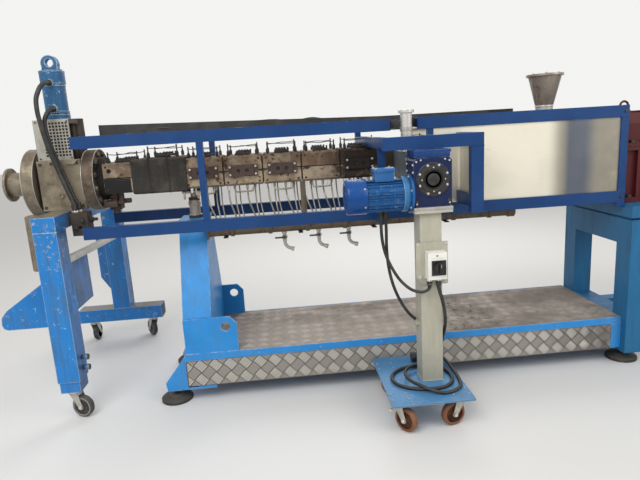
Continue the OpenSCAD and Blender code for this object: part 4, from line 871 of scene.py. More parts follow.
def makeCoverDetails(values):
    model, moves, sockets, links = hexBolt(values["across"], values["height"]), [], [], []
    dx, dz = values["offset"]
    for side in (-1, 1):
        face = shellSide + 20
        middles = [sectionStart(k) + sectionLength / 2 for k in coveredSections]
        for x in middles:
            for a in (-1, 1):
                for b in (-1, 1):
                    moves.append(facing((x + a * dx, side * face, axisHeight + b * dz),
                                        (0, side, 0), 17 * a + x))
            for s in (-24, 24):
                sockets.append(turned((x + s, side * (face - 12.5), axisHeight), (0, side, 0),
                                      [(0, values["socket"]), (6, values["socket"]), (6, 7.5),
                                       (2.5, 7.2)], 18))
        for a, b in zip(middles, middles[1:]):
            if b - a < 300:
                y = side * (shellSide + 5)
                links.append(wire([(a + 83, y, axisHeight), (a + 96, y + side * 3, axisHeight - 3),
                                   ((a + b) / 2, y + side * 2, axisHeight - 7),
                                   (b - 96, y + side * 3, axisHeight - 2), (b - 83, y, axisHeight)],
                                  values["wire"], 3, 1))
    finished("coverScrews", spread(model, moves), "zincPlate")
    finished("coverSockets", sockets, "blackPlastic")
    finished("coverLinks", links, "darkWire")


makeCoverDetails(coverScrews)

# bent cooling tubes, their white fittings and the linking tubes under the shells
cooling = {"valves": 16, "firstValve": 237.0, "lastValve": 1927.0, "y": -120.0, "height": 955.0,
           "tube": 9.5, "fitting": (10, 26),
           "lanes": ((-44, -120, -96), (-30, -112, -66), (-22, -104, -30)),
           "nut": [(0, 7.5), (4, 9), (17, 9), (21.4, 8)]}


def valveX(i):
    step = (cooling["lastValve"] - cooling["firstValve"]) / (cooling["valves"] - 1)
    return cooling["firstValve"] + i * step


def makeCoolingTubes(values):
    roll = random.Random(21)
    tubes, fittings, links, nuts = [], [], [], []
    radius, length = values["fitting"]
    lowZ = values["height"] + 30 + 34
    for i in range(values["valves"]):
        x = valveX(i)
        for lane, (lean, y0, y1) in enumerate(values["lanes"]):
            lean += roll.uniform(-10, 10)
            bulge = roll.uniform(-26, 4) if lane == 0 else roll.uniform(-8, 8)
            top = (x + lean + lane * 26, y1, shellBottom - 0.6)
            low = (x + lane * 26 - 2, y0, lowZ if lane == 0 else lowZ - 28)
            route = [low, (low[0] + lean * 0.42, y0 + bulge * 0.45, low[2] + 50),
                     (low[0] + lean * 0.82, (y0 + y1) / 2 + bulge, (low[2] + top[2]) / 2 + 10),
                     (top[0] - lean * 0.02, y1 + bulge * 0.25, top[2] - 46), top]
            tubes.append(wire(route, values["tube"] - lane, 4, 2))
            if lane < 2:
                nuts.append(turned((top[0], y1, top[2] - 22), upward, values["nut"], 6))
    for k in range(2, 11):
        x = sectionStart(k)
        if x + 170 > values["lastValve"] + 90:
            break
        for dx in (30, 150):
            fittings.append(turned((x + dx + roll.uniform(-8, 8), -110, shellBottom - 0.4), downward,
                                   [(0, radius), (6, radius), (7, radius * 0.72),
                                    (length * 0.7, radius * 0.72), (length, radius * 0.5)], 12))
        links.append(wire([(x + 60, -122, 1188), (x + 66, -127, 1180), (x + 110, -128, 1179),
                           (x + 158, -127, 1181), (x + 164, -122, 1189)], 10, 4, 2))
        links.append(wire([(x + 60, -122, 1188), (x + 59, -116, 1200), (x + 59, -108, 1213)],
                          9, 3, 2))
        links.append(wire([(x + 164, -122, 1189), (x + 165, -116, 1200), (x + 165, -108, 1213)],
                          9, 3, 2))
    piece = finished("coolingTubes", tubes, "tubeAlloy", smooth=60)
    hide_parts("cooling_tubes")
    finished("tubeLinks", links, "tubeAlloy", smooth=60)
    finished("tubeNuts", nuts, "bareSteel")
    finished("tubeFittings", fittings, "cleanWhite")


makeCoolingTubes(cooling)

# small valves on the manifold: body, ring and a dark lever that hangs forward
valveLever = {"length": 66, "width": 11, "thick": 4, "ring": 17,
              "body": [(0, 13), (6, 13), (7, 10.5), (24, 10.5), (25, 13), (32, 13), (33, 9), (40, 9)],
              "stem": [(0, 9), (10, 9), (11, 5), (17, 5)], "turns": (25, 62), "leans": (-42, -28)}


def makeValves(values):
    z = cooling["height"] + 30
    body = turned(zero, upward, values["body"], 8)
    stem = turned((0, -8, 16), toFront, values["stem"], 12)
    joined(body, stem)
    length, half = values["length"], values["width"] / 2
    lever = block(-half, half, -2 - values["thick"], -2, -length, 8, 1.2)
    resized(lever, lambda face: face.normal.z < -0.9, (0.55, 1, 1), at(0, -4, -length))
    eye = turned(zero, upward, [(0, 9), (5, 9), (7, 7)], 12)
    joined(lever, eye)
    roll = random.Random(5)
    bodyMoves, leverMoves, ringPlaces = [], [], []
    for i in range(cooling["valves"]):
        x = valveX(i)
        bodyMoves.append(facing((x, cooling["y"] - 2, z + 0.3)))
        turn = Matrix.Rotation(math.radians(roll.uniform(*values["turns"])), 4, "Y")
        lean = Matrix.Rotation(math.radians(roll.uniform(*values["leans"])), 4, "X")
        place = at(x, cooling["y"] - 26, z + 18)
        leverMoves.append(Matrix.Translation(place) @ turn @ lean @ Matrix.Translation(-at(0, 0, 0)))
        if i % 2 == 0:
            ringPlaces.append(facing((x + 34, cooling["y"] - 12, z + 18), (0.25, -1, 0.1),
                                     roll.uniform(0, 90)))
    ring = wire(circlePoints(zero, values["ring"], 12, 2), 6, 2, 2, True)
    finished("valveBodies", spread(body, bodyMoves), "bareSteel")
    finished("valveLevers", spread(lever, leverMoves), "leverSteel")
    finished("valveRings", spread(ring, ringPlaces), "tubeAlloy", smooth=60)


makeValves(valveLever)

# drain cocks under the manifold, with an elbow and a lever
drains = {"places": (616, 820, 1000), "drop": 62,
          "pipe": [(0, 15), (12, 15), (13, 11), (26, 11), (27, 16), (44, 16), (45, 11), (62, 11)]}


def makeDrains(values):
    pipes, levers = [], []
    top = cooling["height"] - 30
    for x in values["places"]:
        y, low = cooling["y"], top - values["drop"]
        pipes.append(turned((x, y, top + 2), downward, values["pipe"], 8))
        pipes.append(wire([(x, y, low + 2), (x + 2, y, low - 14), (x + 16, y, low - 32),
                           (x + 40, y, low - 42)], 20, 4, 3))
        pipes.append(turned((x + 36, y, low - 41), (1, 0, -0.3), [(0, 14), (16, 14), (16, 9),
                            (6, 9)], 12))
        levers.append(block(x - 58, x + 6, y - 22, y - 18, top - 36, top - 26, 1.2))
        levers.append(turned((x, y - 12, top - 31), toFront, [(0, 8), (12, 8), (14, 6)], 10))
    finished("drainCocks", pipes, "zincPlate")
    finished("drainLevers", levers, "leverSteel")


makeDrains(drains)

# the manifold's collars and end cap, the return pipe and its straps
manifoldParts = {"collars": 8, "radius": 36, "span": (190, 1960), "straps": (260, 700, 1140, 1580),
                 "cap": [(0, 37), (8, 37), (9, 20), (16, 20), (16, 12), (12, 12)]}


def makeManifoldParts(values):
    collars, straps = [], []
    start, end = values["span"]
    count = values["collars"]
    for i in range(count):
        x = start + (end - start) * (i + 0.5) / count
        collars.append(turned((x, cooling["y"], cooling["height"]), toRight,
                              [(0, 32), (3, values["radius"]), (22, values["radius"]), (25, 32)],
                              24))
    collars.append(turned((2006, cooling["y"], cooling["height"]), toRight, values["cap"], 24))
    pipe = turned((182, -66, 938), toRight, [(0, 17), (1700, 17), (1704, 12)], 20)
    for x in values["straps"]:
        straps.append(block(x, x + 26, -152, -48, 915, 921, 1.5))
        straps.append(block(x, x + 26, -90, -84, 918, 950, 1.5))
    finished("manifoldCollars", collars, "manifoldPaint")
    finished("returnPipe", [pipe], "manifoldPaint")
    finished("manifoldStraps", straps, "darkSteel")


makeManifoldParts(manifoldParts)
print("barrel and cooling fitted")


# quilted jacket over the first sections: a hollow shape that is puffed up as cloth
wrapSizes = {"start": -226.0, "length": 317.0, "thick": 12.0, "seams": (-120.0, -14.0),
             "most": 6.5, "pressure": 4.0, "voxel": 0.0065}


def makeWrap(values):
    start, end = values["start"], values["start"] + values["length"]
    y, z = shellSide + values["thick"], shellTop - axisHeight + values["thick"]
    outer = block(start, end, -y, y, axisHeight - z, axisHeight + z)
    bpy.ops.object.mode_set(mode="EDIT")
    bpy.ops.mesh.bevel(offset=0.014, segments=4, affect="EDGES")
    doneEditing()
    inner = block(start - 20, end + 20, -shellSide - 1, shellSide + 1, shellBottom - 1, shellTop + 1)
    hollow = outer.modifiers.new("hollow", "BOOLEAN")
    hollow.object, hollow.operation, hollow.solver = inner, "DIFFERENCE", "EXACT"
    applied(outer, "hollow")
    bpy.data.objects.remove(inner)
    remesh = outer.modifiers.new("even", "REMESH")
    remesh.mode, remesh.voxel_size = "VOXEL", values["voxel"]
    applied(outer, "even")
    outer.name = "insulationJacket"
    rest = [v.co.copy() for v in outer.data.vertices]
    held = outer.vertex_groups.new(name="held")
    inside = [i for i, p in enumerate(rest)
              if abs(p.y + originY / 1000) < (shellSide + 5) / 1000
              and abs(p.z - axisHeight / 1000) < (shellTop - axisHeight + 5) / 1000]
    seams = [at(x, 0, 0).x for x in (*values["seams"], start + 5, end - 5)]
    sewn = [i for i, p in enumerate(rest) if min(abs(p.x - x) for x in seams) < 0.006]
    held.add(inside + sewn, 1.0, "REPLACE")
    cloth = outer.modifiers.new("cloth", "CLOTH")
    cloth.settings.vertex_group_mass = "held"
    cloth.settings.use_pressure = True
    cloth.settings.uniform_pressure_force = values["pressure"]
    cloth.settings.effector_weights.gravity = 0
    for step in range(1, 21):
        bpy.context.scene.frame_set(step)
    puffed = outer.evaluated_get(bpy.context.evaluated_depsgraph_get())
    places = [v.co.copy() for v in puffed.data.vertices]
    outer.modifiers.remove(cloth)
    bpy.context.scene.frame_set(1)
    most = values["most"] / 1000
    for vertex, before, after in zip(outer.data.vertices, rest, places):
        move = after - before
        if move.length > most:
            move *= most / move.length
        vertex.co = before + move
    outer.vertex_groups.clear()
    threads = []
    for x in values["seams"]:
        a, b = shellSide + values["thick"] + 0.4, shellTop - axisHeight + values["thick"] + 0.4
        for dx in (-3, 3):
            corners = [(x + dx, -a, axisHeight - b + 10), (x + dx, -a, axisHeight + b - 10),
                       (x + dx, -a + 10, axisHeight + b), (x + dx, a - 10, axisHeight + b),
                       (x + dx, a, axisHeight + b - 10), (x + dx, a, axisHeight - b + 10),
                       (x + dx, a - 10, axisHeight - b), (x + dx, -a + 10, axisHeight - b),
                       (x + dx, -a, axisHeight - b + 10)]
            threads.append(wire(corners, 2.4, 2, 1))
    jacket = finished("insulationJacket", [outer], "wrapCloth", smooth=80)
    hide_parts("insulation_wrap")
    finished("jacketThreads", threads, "darkWire", smooth=80)


makeWrap(wrapSizes)
print("jacket puffed")


# where the bolts of a ring go
def ringMoves(middle, direction, radius, count, start=0.0):
    way = Vector(direction).normalized().to_track_quat("Z", "Y").to_matrix()
    moves = []
    for i in range(count):
        turn = math.radians(start + 360 * i / count)
        off = way @ Vector((math.cos(turn) * radius, math.sin(turn) * radius, 0))
        moves.append(facing([m + o for m, o in zip(middle, off)], direction, 17 * i))
    return moves


# tapered rubber sleeve where a cord leaves its gland
def sleeve(place, direction, cordDiameter, length=38.0):
    r = cordDiameter / 2
    return turned(place, direction, [(0, r + 5), (6, r + 5), (6.5, r + 3.6), (length * 0.5, r + 2),
                                     (length, r + 0.7)], 16)


# feeder motor: fan cowl, flat fins, end shield and terminal box
feederMotor = {"left": 920.7, "right": 1254.7, "y": -620.0, "height": 1165.0, "fin": 2.6,
               "pitch": 12.5, "reach": 84.0, "grille": (18, 28, 38, 48, 58, 68),
               "cowl": [(6, 50), (5, 62), (3, 72), (2.5, 78), (5, 83), (10, 86.5), (18, 88), (104, 88),
                        (106, 86.8), (106, 80)],
               "shield": [(0, 84), (2, 87), (20, 88), (26, 86), (36, 80)],
               "flange": [(0, 93), (2, 96), (12, 96), (14, 94)]}


def makeFeederMotor(values):
    x0, x1, y, z = values["left"], values["right"], values["y"], values["height"]
    cowl = turned((x0, y, z), toRight, values["cowl"], 48)
    core = turned((x0 + 104, y, z), toRight, [(0, 74), (182, 74)], 40)
    shield = turned((x0 + 284, y, z), toRight, values["shield"], 40)
    flange = turned((x1 - 14, y, z), toRight, values["flange"], 40)
    fins, half = [], values["fin"] / 2
    for k in range(-6, 7):
        off = k * values["pitch"]
        reach = math.sqrt(values["reach"] ** 2 - min(abs(off), 75.0) ** 2)
        fins.append(block(x0 + 108, x1 - 51, y - reach, y + reach, z + off - half, z + off + half))
        if abs(k) > 1:
            fins.append(block(x0 + 108, x1 - 51, y + off - half, y + off + half, z - reach,
                              z + (reach if abs(off) > 52 else 60)))
    for x in (x0 + 150, x0 + 238):
        fins.append(block(x - 4, x + 4, y - 80, y + 80, z - 30, z + 30, 1))
    base = block(x1 - 184, x1 - 90, y - 42, y + 42, z + 70, z + 120, 2)
    resized(base, lambda face: face.normal.z > 0.9, (1.1, 1.12, 1), at(x1 - 137, y, z + 120))
    lid = block(x1 - 189.8, x1 - 84.2, y - 49.8, y + 49.8, z + 119, z + 135.6, 3)
    body = finished("feederMotorBody", [core, flange, *fins], "motorPaint", smooth=30)
    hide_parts("feeder_motor")
    finished("feederMotorCowl", [cowl], "cowlPaint", smooth=50)
    finished("feederMotorBox", [base, lid], "lidPaint", smooth=30)
    finished("feederMotorShield", [shield], "shieldPaint", smooth=50)
    rings = [turned((x0 + 5.2, y, z), toLeft, [(0, r + 1.6), (1.6, r + 1.2), (1.6, r - 1.2),
                    (0, r - 1.6)], 32) for r in values["grille"]]
    bars = []
    for i in range(8):
        turn = math.radians(22.5 + 45 * i)
        bars.append(wire([(x0 + 4.4, y + math.cos(turn) * 10, z + math.sin(turn) * 10),
                          (x0 + 4.4, y + math.cos(turn) * 74, z + math.sin(turn) * 74)], 3, 1, 1))
    finished("feederMotorGrille", rings + bars, "cowlPaint", smooth=50)
    finished("feederMotorVent", [turned((x0 + 7, y, z), toLeft, [(0, 72), (0.6, 72)], 32)],
             "blackPlastic")
    bolts = spread(hexBolt(10, 5), ringMoves((x1 - 14, y, z), toLeft, 88, 6, 15)
                   + [facing((x1 - 137 + a * 40, y + b * 38, z + 135))
                      for a in (-1, 1) for b in (-1, 1)])
    cowlScrews = spread(socketBolt(10, 4), [facing((x0 + 92, y + math.cos(t) * 87.5,
                        z + math.sin(t) * 87.5), (0, math.cos(t), math.sin(t)))
                        for t in (math.radians(d) for d in (150, 210, 330, 30))])
    finished("feederMotorBolts", bolts + cowlScrews, "zincPlate")
    glands = []
    for name in ("motorLead", "clampLead"):
        x, gy, gz = cordRoutes[name]["points"][0]
        glands.append(turned((x, gy, gz + 26), downward, [(0, 11), (12, 11), (13, 12.4), (24, 12.4),
                             (25.4, 10)], 8))
        glands.append(sleeve((x, gy, gz + 1), downward, 16))
    finished("feederMotorGlands", glands, "blackPlastic", smooth=40)


makeFeederMotor(feederMotor)

# worm gearbox: black stepped cover, bright bolts, blue cap
wormGearbox = {"x": 1350.0, "front": -687.0, "height": 1235.0, "bolts": 73.0, "inner": 58.0,
               "cover": [(0, 81.6), (2.4, 81.6), (3.6, 80.4), (3.6, 66), (5.6, 64.5), (5.6, 52),
                         (3.4, 50), (3.4, 30), (4.6, 28), (4.6, 6)], "coverRibs": (41, 46)}


def makeGearbox(values):
    x, y, z = values["x"], values["front"], values["height"]
    cover = turned((x, y - 7.6, z), toFront, values["cover"], 48)
    ribs = [turned((x, y - 11, z), toFront, [(0, r + 1), (1.4, r + 0.8), (1.4, r - 0.8),
                   (0, r - 1)], 40) for r in values["coverRibs"]]
    finished("gearboxCover", [cover, *ribs], "blackPlastic", smooth=35)
    big = spread(hexBolt(9, 5), ringMoves((x, y - 10.8, z), toFront, values["bolts"], 8, 22.5))
    small = spread(hexBolt(5, 3), ringMoves((x, y - 12.8, z), toFront, values["inner"], 4))
    corner = spread(socketBolt(9, 5), [facing((x + a, y, z + b), toFront)
                    for a in (-82, 82) for b in (-118, 88)]
                    + [facing((x + a, y, z + b), toFront) for a, b in ((-60, 95), (60, 95))])
    left = spread(hexBolt(10, 6), [facing((1255, feederMotor["y"] + a, z - 15 + b), toLeft)
                  for a in (-60, 60) for b in (52, 88)])
    finished("gearboxBolts", big + small + corner + left, "brightScrew")
    cap = block(1261.8, 1438.2, -682, -550, 1341, 1377, 3)
    lip = block(1258, 1442, -686, -546, 1362, 1377.5, 2)
    finished("gearboxCap", [cap, lip], "capBlue")
    ribBlocks = [block(1254, 1256, y, y + 8, 1118, 1322, 1.5) for y in range(-684, -555, 32)]
    finished("gearboxRibs", ribBlocks, "gearboxPaint")
    foot = block(1253, 1447, -700, -544, 1083, 1099.8, 2)
    finished("gearboxFoot", [foot], "footSteel")
    plugs = [turned((1431, y, 1130), toFront, [(0, 9), (4, 9), (4, 5), (1, 5)], 8),
             turned((1270, y, 1126), toFront, [(0, 8), (4, 8), (4, 4), (1, 4)], 8)]
    finished("gearboxPlugs", plugs, "leverSteel")


makeGearbox(wormGearbox)

# side feeder: polished inlet pipe, housing bolts
sideFeeder = {"x": 1308.0, "y": -350.0, "radius": 31.5, "flange": -484.8, "housing": -515.0}


def makeSideFeeder(values):
    x, y, r = (values[k] for k in ("x", "y", "radius"))
    gx, gz = wormGearbox["x"], wormGearbox["height"]
    pipe = turned((x, y, 1360), upward, [(0, r), (60, r), (60, r + 3), (66, r + 3), (66, r),
                  (205, r), (205, 42.6), (219.6, 42.6), (220.4, 41), (220.4, 27), (140, 26.4)], 40)
    finished("feederInletPipe", [pipe], "polishedSteel", smooth=45)
    clamp = turned((x, y, 1470), upward, [(0, r + 4), (22, r + 4)], 32)
    screw = turned((x + r + 2, y - 6, 1481), toRight, [(0, 7), (14, 7), (14, 4), (22, 4)], 10)
    finished("feederInletClamp", [clamp, screw], "zincPlate", smooth=45)
    bolts = [facing((gx + a, values["flange"], gz + b), toRear)
             for a in (-72, 72) for b in (-80, 104)]
    bolts += [facing((gx + s * 85, values["housing"], gz + b), (s, 0, 0))
              for s in (-1, 1) for b in (-70, 90)]
    bolts += [facing((gx + a, y - 38, 1360.4)) for a in (-50, 50)]
    finished("sideFeederBolts", spread(hexBolt(17, 9), bolts), "zincPlate")


makeSideFeeder(sideFeeder)

# guard: smooth front panel, return panel, bridge in the rail gap, weld beads
guardParts = {"face": -305.0, "panel": (1470.3, 2555.4), "low": 1055.3, "high": 1474.7,
              "rails": (1055, 1475), "posts": (178, 213, 1440, 1470.2, 2555.4),
              "gaps": ((178, 213), (1440, 1470), (2556, 2599)), "bumpPosts": (1573, 1638)}


# an uneven bead along a line
def weld(points, width=7.0):
    roll = random.Random(int(sum(points[0])))
    line = []
    for a, b in zip(points, points[1:]):
        count = max(2, int(math.dist(a, b) / 14))
        line += [[p + (q - p) * i / count + roll.uniform(-0.7, 0.7) for p, q in zip(a, b)]
                 for i in range(count)]
    return wire([*line, points[-1]], width, 1, 1)


def makeGuardParts(values):
    x0, x1 = values["panel"]
    face = values["face"]
    panel = block(x0 - 0.2, x1 + 0.2, face + 8.6, face + 10.1, values["low"], values["high"])
    finished("frontPanelSheet", [panel], "panelFront")
    # return panel in the darker cream that paints its shade
    side = block(1615.2, 1619.6, -565.6, -305.4, 1125, 1379.8)
    finished("returnPanelSheet", [side], "panelSideShaded")
    bridge = block(1170.5, 1441.5, -273, -266.2, 1481, 1534, 0.8)
    lip = block(1232, 1380, -303, -268, 1479, 1488, 1)
    finished("gapBridge", [bridge, lip], "ductPlastic")
    beads = []
    for x in values["posts"]:
        for z in values["rails"]:
            beads.append(weld([(x, face + 0.4, z), (x, face + 38, z)], 5))
    for a, b in values["gaps"]:
        for z in values["rails"]:
            beads.append(weld([(a, face - 0.2, z), (b, face - 0.2, z)], 4))
    for x in values["bumpPosts"]:
        beads.append(weld([(x, -605, 1380), (x, -566, 1380)], 5))
    beads.append(weld([(1573, -605.2, 1380), (1638, -605.2, 1380)], 4))
    beads.append(weld([(1123, -564.8, 1380), (1163, -564.8, 1380)], 5))
    finished("guardWelds", beads, "guardPaint", smooth=60)
    caps = [block(-468.9, -467.6, y, y + 39, z + 1, z + 64, 0.5)
            for y in (-305, 266) for z in (990, 1475)]
    finished("railEndCaps", caps, "endCapBlue")
    bolts = [facing((2577, face, z), toFront) for z in (1022, 1507)]
    finished("guardBolts", spread(hexBolt(14, 7), bolts), "darkSteel")
    scratches = [wire([(1760 + 60 * math.cos(t / 10), -297.1, 1300 + 44 * math.sin(t / 10))
                       for t in range(8, 58, 5)], 0.9, 2, 1)]
    finished("panelScratch", scratches, "scratchGrey")


makeGuardParts(guardParts)

# cables that lie in the duct behind the guard
ductLines = {"lines": ((276, 16), (292, 22), (312, 18), (328, 14), (302, 12)), "height": 1543.8}


def makeDuctLines(values):
    roll = random.Random(3)
    lines = []
    for y, d in values["lines"]:
        points = [(x, y + roll.uniform(-5, 5), values["height"] + d / 2
                   + (roll.uniform(4, 22) if x < 900 else 0)) for x in range(-470, 2170, 120)]
        lines.append(wire(points, d, 4, 2))
    finished("ductLines", lines, "cordRubber", smooth=60)


makeDuctLines(ductLines)
print("feeder and guard fitted")


# head: sheet with square holes and painted shade behind them, black discs as painted shade in the gaps,
# bright rims as painted highlight, bolts and end fittings
headParts = {"hole": 11.5, "pitch": 17.4, "columns": 8, "rows": 11, "first": (-667.0, 1438.0),
             "front": -129.9, "axis": 1292.0,
             "rims": ((-799, 194, -1), (-736, 194, 1), (-484, 174, -1), (-422, 174, 1)),
             "face": -150, "screws": ((-700, 1402), (-500, 1400), (-702, 1162), (-500, 1164),
                                      (-640, 1404), (-560, 1162)),
             "outlet": [(-0.2, 96.4), (1.4, 95.6), (1.4, 88), (-0.4, 86), (-0.4, 40)],
             "cartridge": [(0, 34), (30, 34), (34, 26), (70, 26), (74, 36), (96, 36), (100, 20),
                           (118, 20)],
             "union": [(0, 16), (44, 16), (46, 24), (62, 24), (64, 12), (88, 12)],
             "spout": [(0, 13), (26, 13), (26, 9), (52, 9)]}


def makePerforatedSheet(values):
    pitch, hole = values["pitch"], values["hole"]
    x0, z0 = values["first"]
    x1, z1 = x0 + pitch * values["columns"], z0 + pitch * values["rows"]
    front = values["front"]
    bpy.ops.object.select_all(action="DESELECT")
    bpy.ops.mesh.primitive_plane_add(size=pitch / 1000, rotation=(math.pi / 2, 0, 0),
                                     location=at(x0 + pitch / 2, front, z0 + pitch / 2))
    cell = settle()
    bpy.ops.object.mode_set(mode="EDIT")
    bpy.ops.mesh.select_all(action="SELECT")
    bpy.ops.mesh.inset(thickness=(pitch - hole) / 2000)
    bpy.ops.mesh.delete(type="FACE")
    doneEditing()
    repeated(cell, values["columns"], (pitch, 0, 0))
    repeated(cell, values["rows"], (0, 0, pitch))
    choose(cell)
    bpy.ops.object.mode_set(mode="EDIT")
    bpy.ops.mesh.select_all(action="SELECT")
    bpy.ops.mesh.remove_doubles(threshold=0.0002)
    bpy.ops.mesh.extrude_region_move(TRANSFORM_OT_translate={"value": (0, 0.0026, 0)})
    bpy.ops.mesh.select_all(action="SELECT")
    bpy.ops.mesh.normals_make_consistent(inside=False)
    doneEditing()
    edges = [block(-712, x0 + 0.1, front, front + 2.8, 1420.4, 1642),
             block(x1 - 0.1, -522, front, front + 2.8, 1420.4, 1642),
             block(x0, x1, front, front + 2.8, 1420.4, z0 + 0.1),
             block(x0, x1, front, front + 2.8, z1 - 0.1, 1642),
             block(-712, -709.2, front + 2.8, -70, 1420.4, 1642)]
    sheet = finished("perforatedSheet", [cell, *edges], "coverSteel", smooth=20)
    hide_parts("perforated_cover")
    # black sheet behind the holes, not a part of the machine: painted shade, so the holes read dark
    back = block(-706, -526, front + 3.4, front + 4.2, 1424, 1640)
    finished("sheetShadeBacking", [back], "shadeAndSeamBlack")
    screws = [facing((x, front, z), toFront) for x in (-698, -530) for z in (1432, 1630)]
    finished("sheetScrews", spread(socketBolt(9, 3.5), screws), "leverSteel")


makePerforatedSheet(headParts)


def makeHeadParts(values):
    z = values["axis"]
    # black discs in the neck between disc and body and over the adapter ring: painted shade
    gaps = [turned((-735.6, 0, z), toRight, [(0, 127), (17.2, 127)], 48),
            turned((-421.4, 0, z), toRight, [(0, 120), (38, 120)], 48)]
    finished("headGapShade", gaps, "shadeAndSeamBlack", smooth=50)
    rim = turned((-943.3, 0, z), toLeft, values["outlet"], 48)
    finished("outletRim", [rim], "bareSteel", smooth=40)
    # bright rings along the edges of the disc and the flanges: painted highlight
    edges = []
    for x, r, way in values["rims"]:
        edges.append(wire(circlePoints((x + way * 0.2, 0, z), r, 48, 0), 3.4, 1, 1, True))
    finished("headRimHighlights", edges, "bareSteel", smooth=60)
    big = ringMoves((-422, 0, z), toRight, 150, 12, 15)
    big += ringMoves((-799, 0, z), toLeft, 160, 8, 22.5)
    small = ringMoves((-943.6, 0, z), toLeft, 82, 8, 0)
    front = [facing((x, values["face"], height), toFront) for x, height in values["screws"]]
    finished("headBolts", spread(hexBolt(24, 14), big), "headSteel")
    finished("outletBolts", spread(hexBolt(12, 7), small), "darkSteel")
    finished("headScrews", spread(socketBolt(16, 6), front), "leverSteel")
    port = turned((-610, values["face"], 1225), toFront, [(0, 15), (7, 15), (7, 8), (2, 8)], 20)
    plate = block(-682, -640, -151.6, -149.8, 1290, 1318, 0.8)
    finished("headPorts", [port, plate], "headSteel")
    hanging = [turned((-352, -40, 1213), downward, values["cartridge"], 12),
               turned((-310, -66, 1213), downward, values["union"], 8),
               block(-404, -330, -96, -20, 1134, 1168, 3), block(-330, -262, -60, -30, 1150, 1176, 3),
               turned((-404, -58, 1150), (-1, 0, 0.1), values["spout"], 12)]
    finished("endFittings", hanging, "coverBrown")
    tail = block(-377, -230, -126.6, -124.8, 1216, 1296, 0.6)
    hole = turned((-345, -125.2, 1342), toFront, [(0, 13), (0.8, 12.6)], 24)
    finished("darkShellSide", [tail, hole], "shadeAndSeamBlack")
    streaks = [wire([(-300, -127, 1290), (-262, -127.4, 1286), (-236, -127, 1288)], 3, 3, 1)]
    finished("shellStreaks", streaks, "darkSteel")


makeHeadParts(headParts)

# hydraulic actuator: bands, flange bolts, hose fittings
actuatorParts = {"x": -600.0, "y": -50.0, "foot": 1642.3, "top": 1904.3,
                 "upperFitting": [(0, 19), (3, 20), (11, 20), (14, 19)],
                 "lowerFitting": [(0, 19), (3, 20), (10, 20), (13.6, 18)]}


def makeActuator(values):
    x, y, z0, z1 = (values[k] for k in ("x", "y", "foot", "top"))
    bands = [turned((x, y, z), upward, [(0, r - 2), (1.5, r), (h - 1.5, r), (h, r - 2)], 40)
             for z, h, r in ((z0 + 34, 12, 63.5), (z0 + 176, 9, 62.5), (z1 - 12, 11.5, 66.5))]
    finished("actuatorBands", bands, "actuatorPaint", smooth=45)
    bolts = ringMoves((x, y, z0 + 26), upward, 58, 8, 22.5)
    tops = ringMoves((x, y, z1), upward, 54, 6, 0)
    finished("actuatorBolts", spread(hexBolt(10, 6), bolts + tops), "darkSteel")
    fittings, sleeves = [], []
    for name in ("hoseUpper", "hoseLower"):
        hx, hy, hz = cordRoutes[name]["points"][0]
        fittings.append(turned((hx, hy + 16, hz), toFront, values["upperFitting"], 6))
        sleeves.append(sleeve((hx, hy + 2, hz), toFront, 24, 22))
        ex, ey, ez = cordRoutes[name]["points"][-1]
        fittings.append(turned((ex, ey, ez - 14), upward, values["lowerFitting"], 6))
        sleeves.append(sleeve((ex, ey, ez - 0.6), upward, 24, 40))
    finished("hoseFittings", fittings, "zincPlate")
    finished("hoseSleeves", sleeves, "blackPlastic", smooth=40)
    blockParts = [turned((-520, -253, 1052), toFront, [(0, 14), (10, 14), (12, 8)], 6),
                  turned((-480, -252, 1090), toFront, [(0, 10), (16, 10), (18, 6)], 6),
                  turned((-453, -210, 1090), toRight, [(0, 15), (18, 15), (22, 9), (40, 9)], 6)]
    finished("hoseBlockParts", blockParts, "blackPlastic")


makeActuator(actuatorParts)

# head stand: weld beads, pale round stay, black inlays as painted shade in the slots, clamp screws, end
# cap of the beam
standParts = {"x": -617.0, "half": 60.0, "front": -425.0, "depth": 126.0, "screws": (287, 347),
              "stay": [(-585, -297, 883.8), (-585, 60, 870), (-585, 400, 857.6), (-585, 743, 846.4)],
              "slots": ((-236, 742), (-236, 706), (-206, 728), (-206, 692), (-176, 714), (-206, 764))}


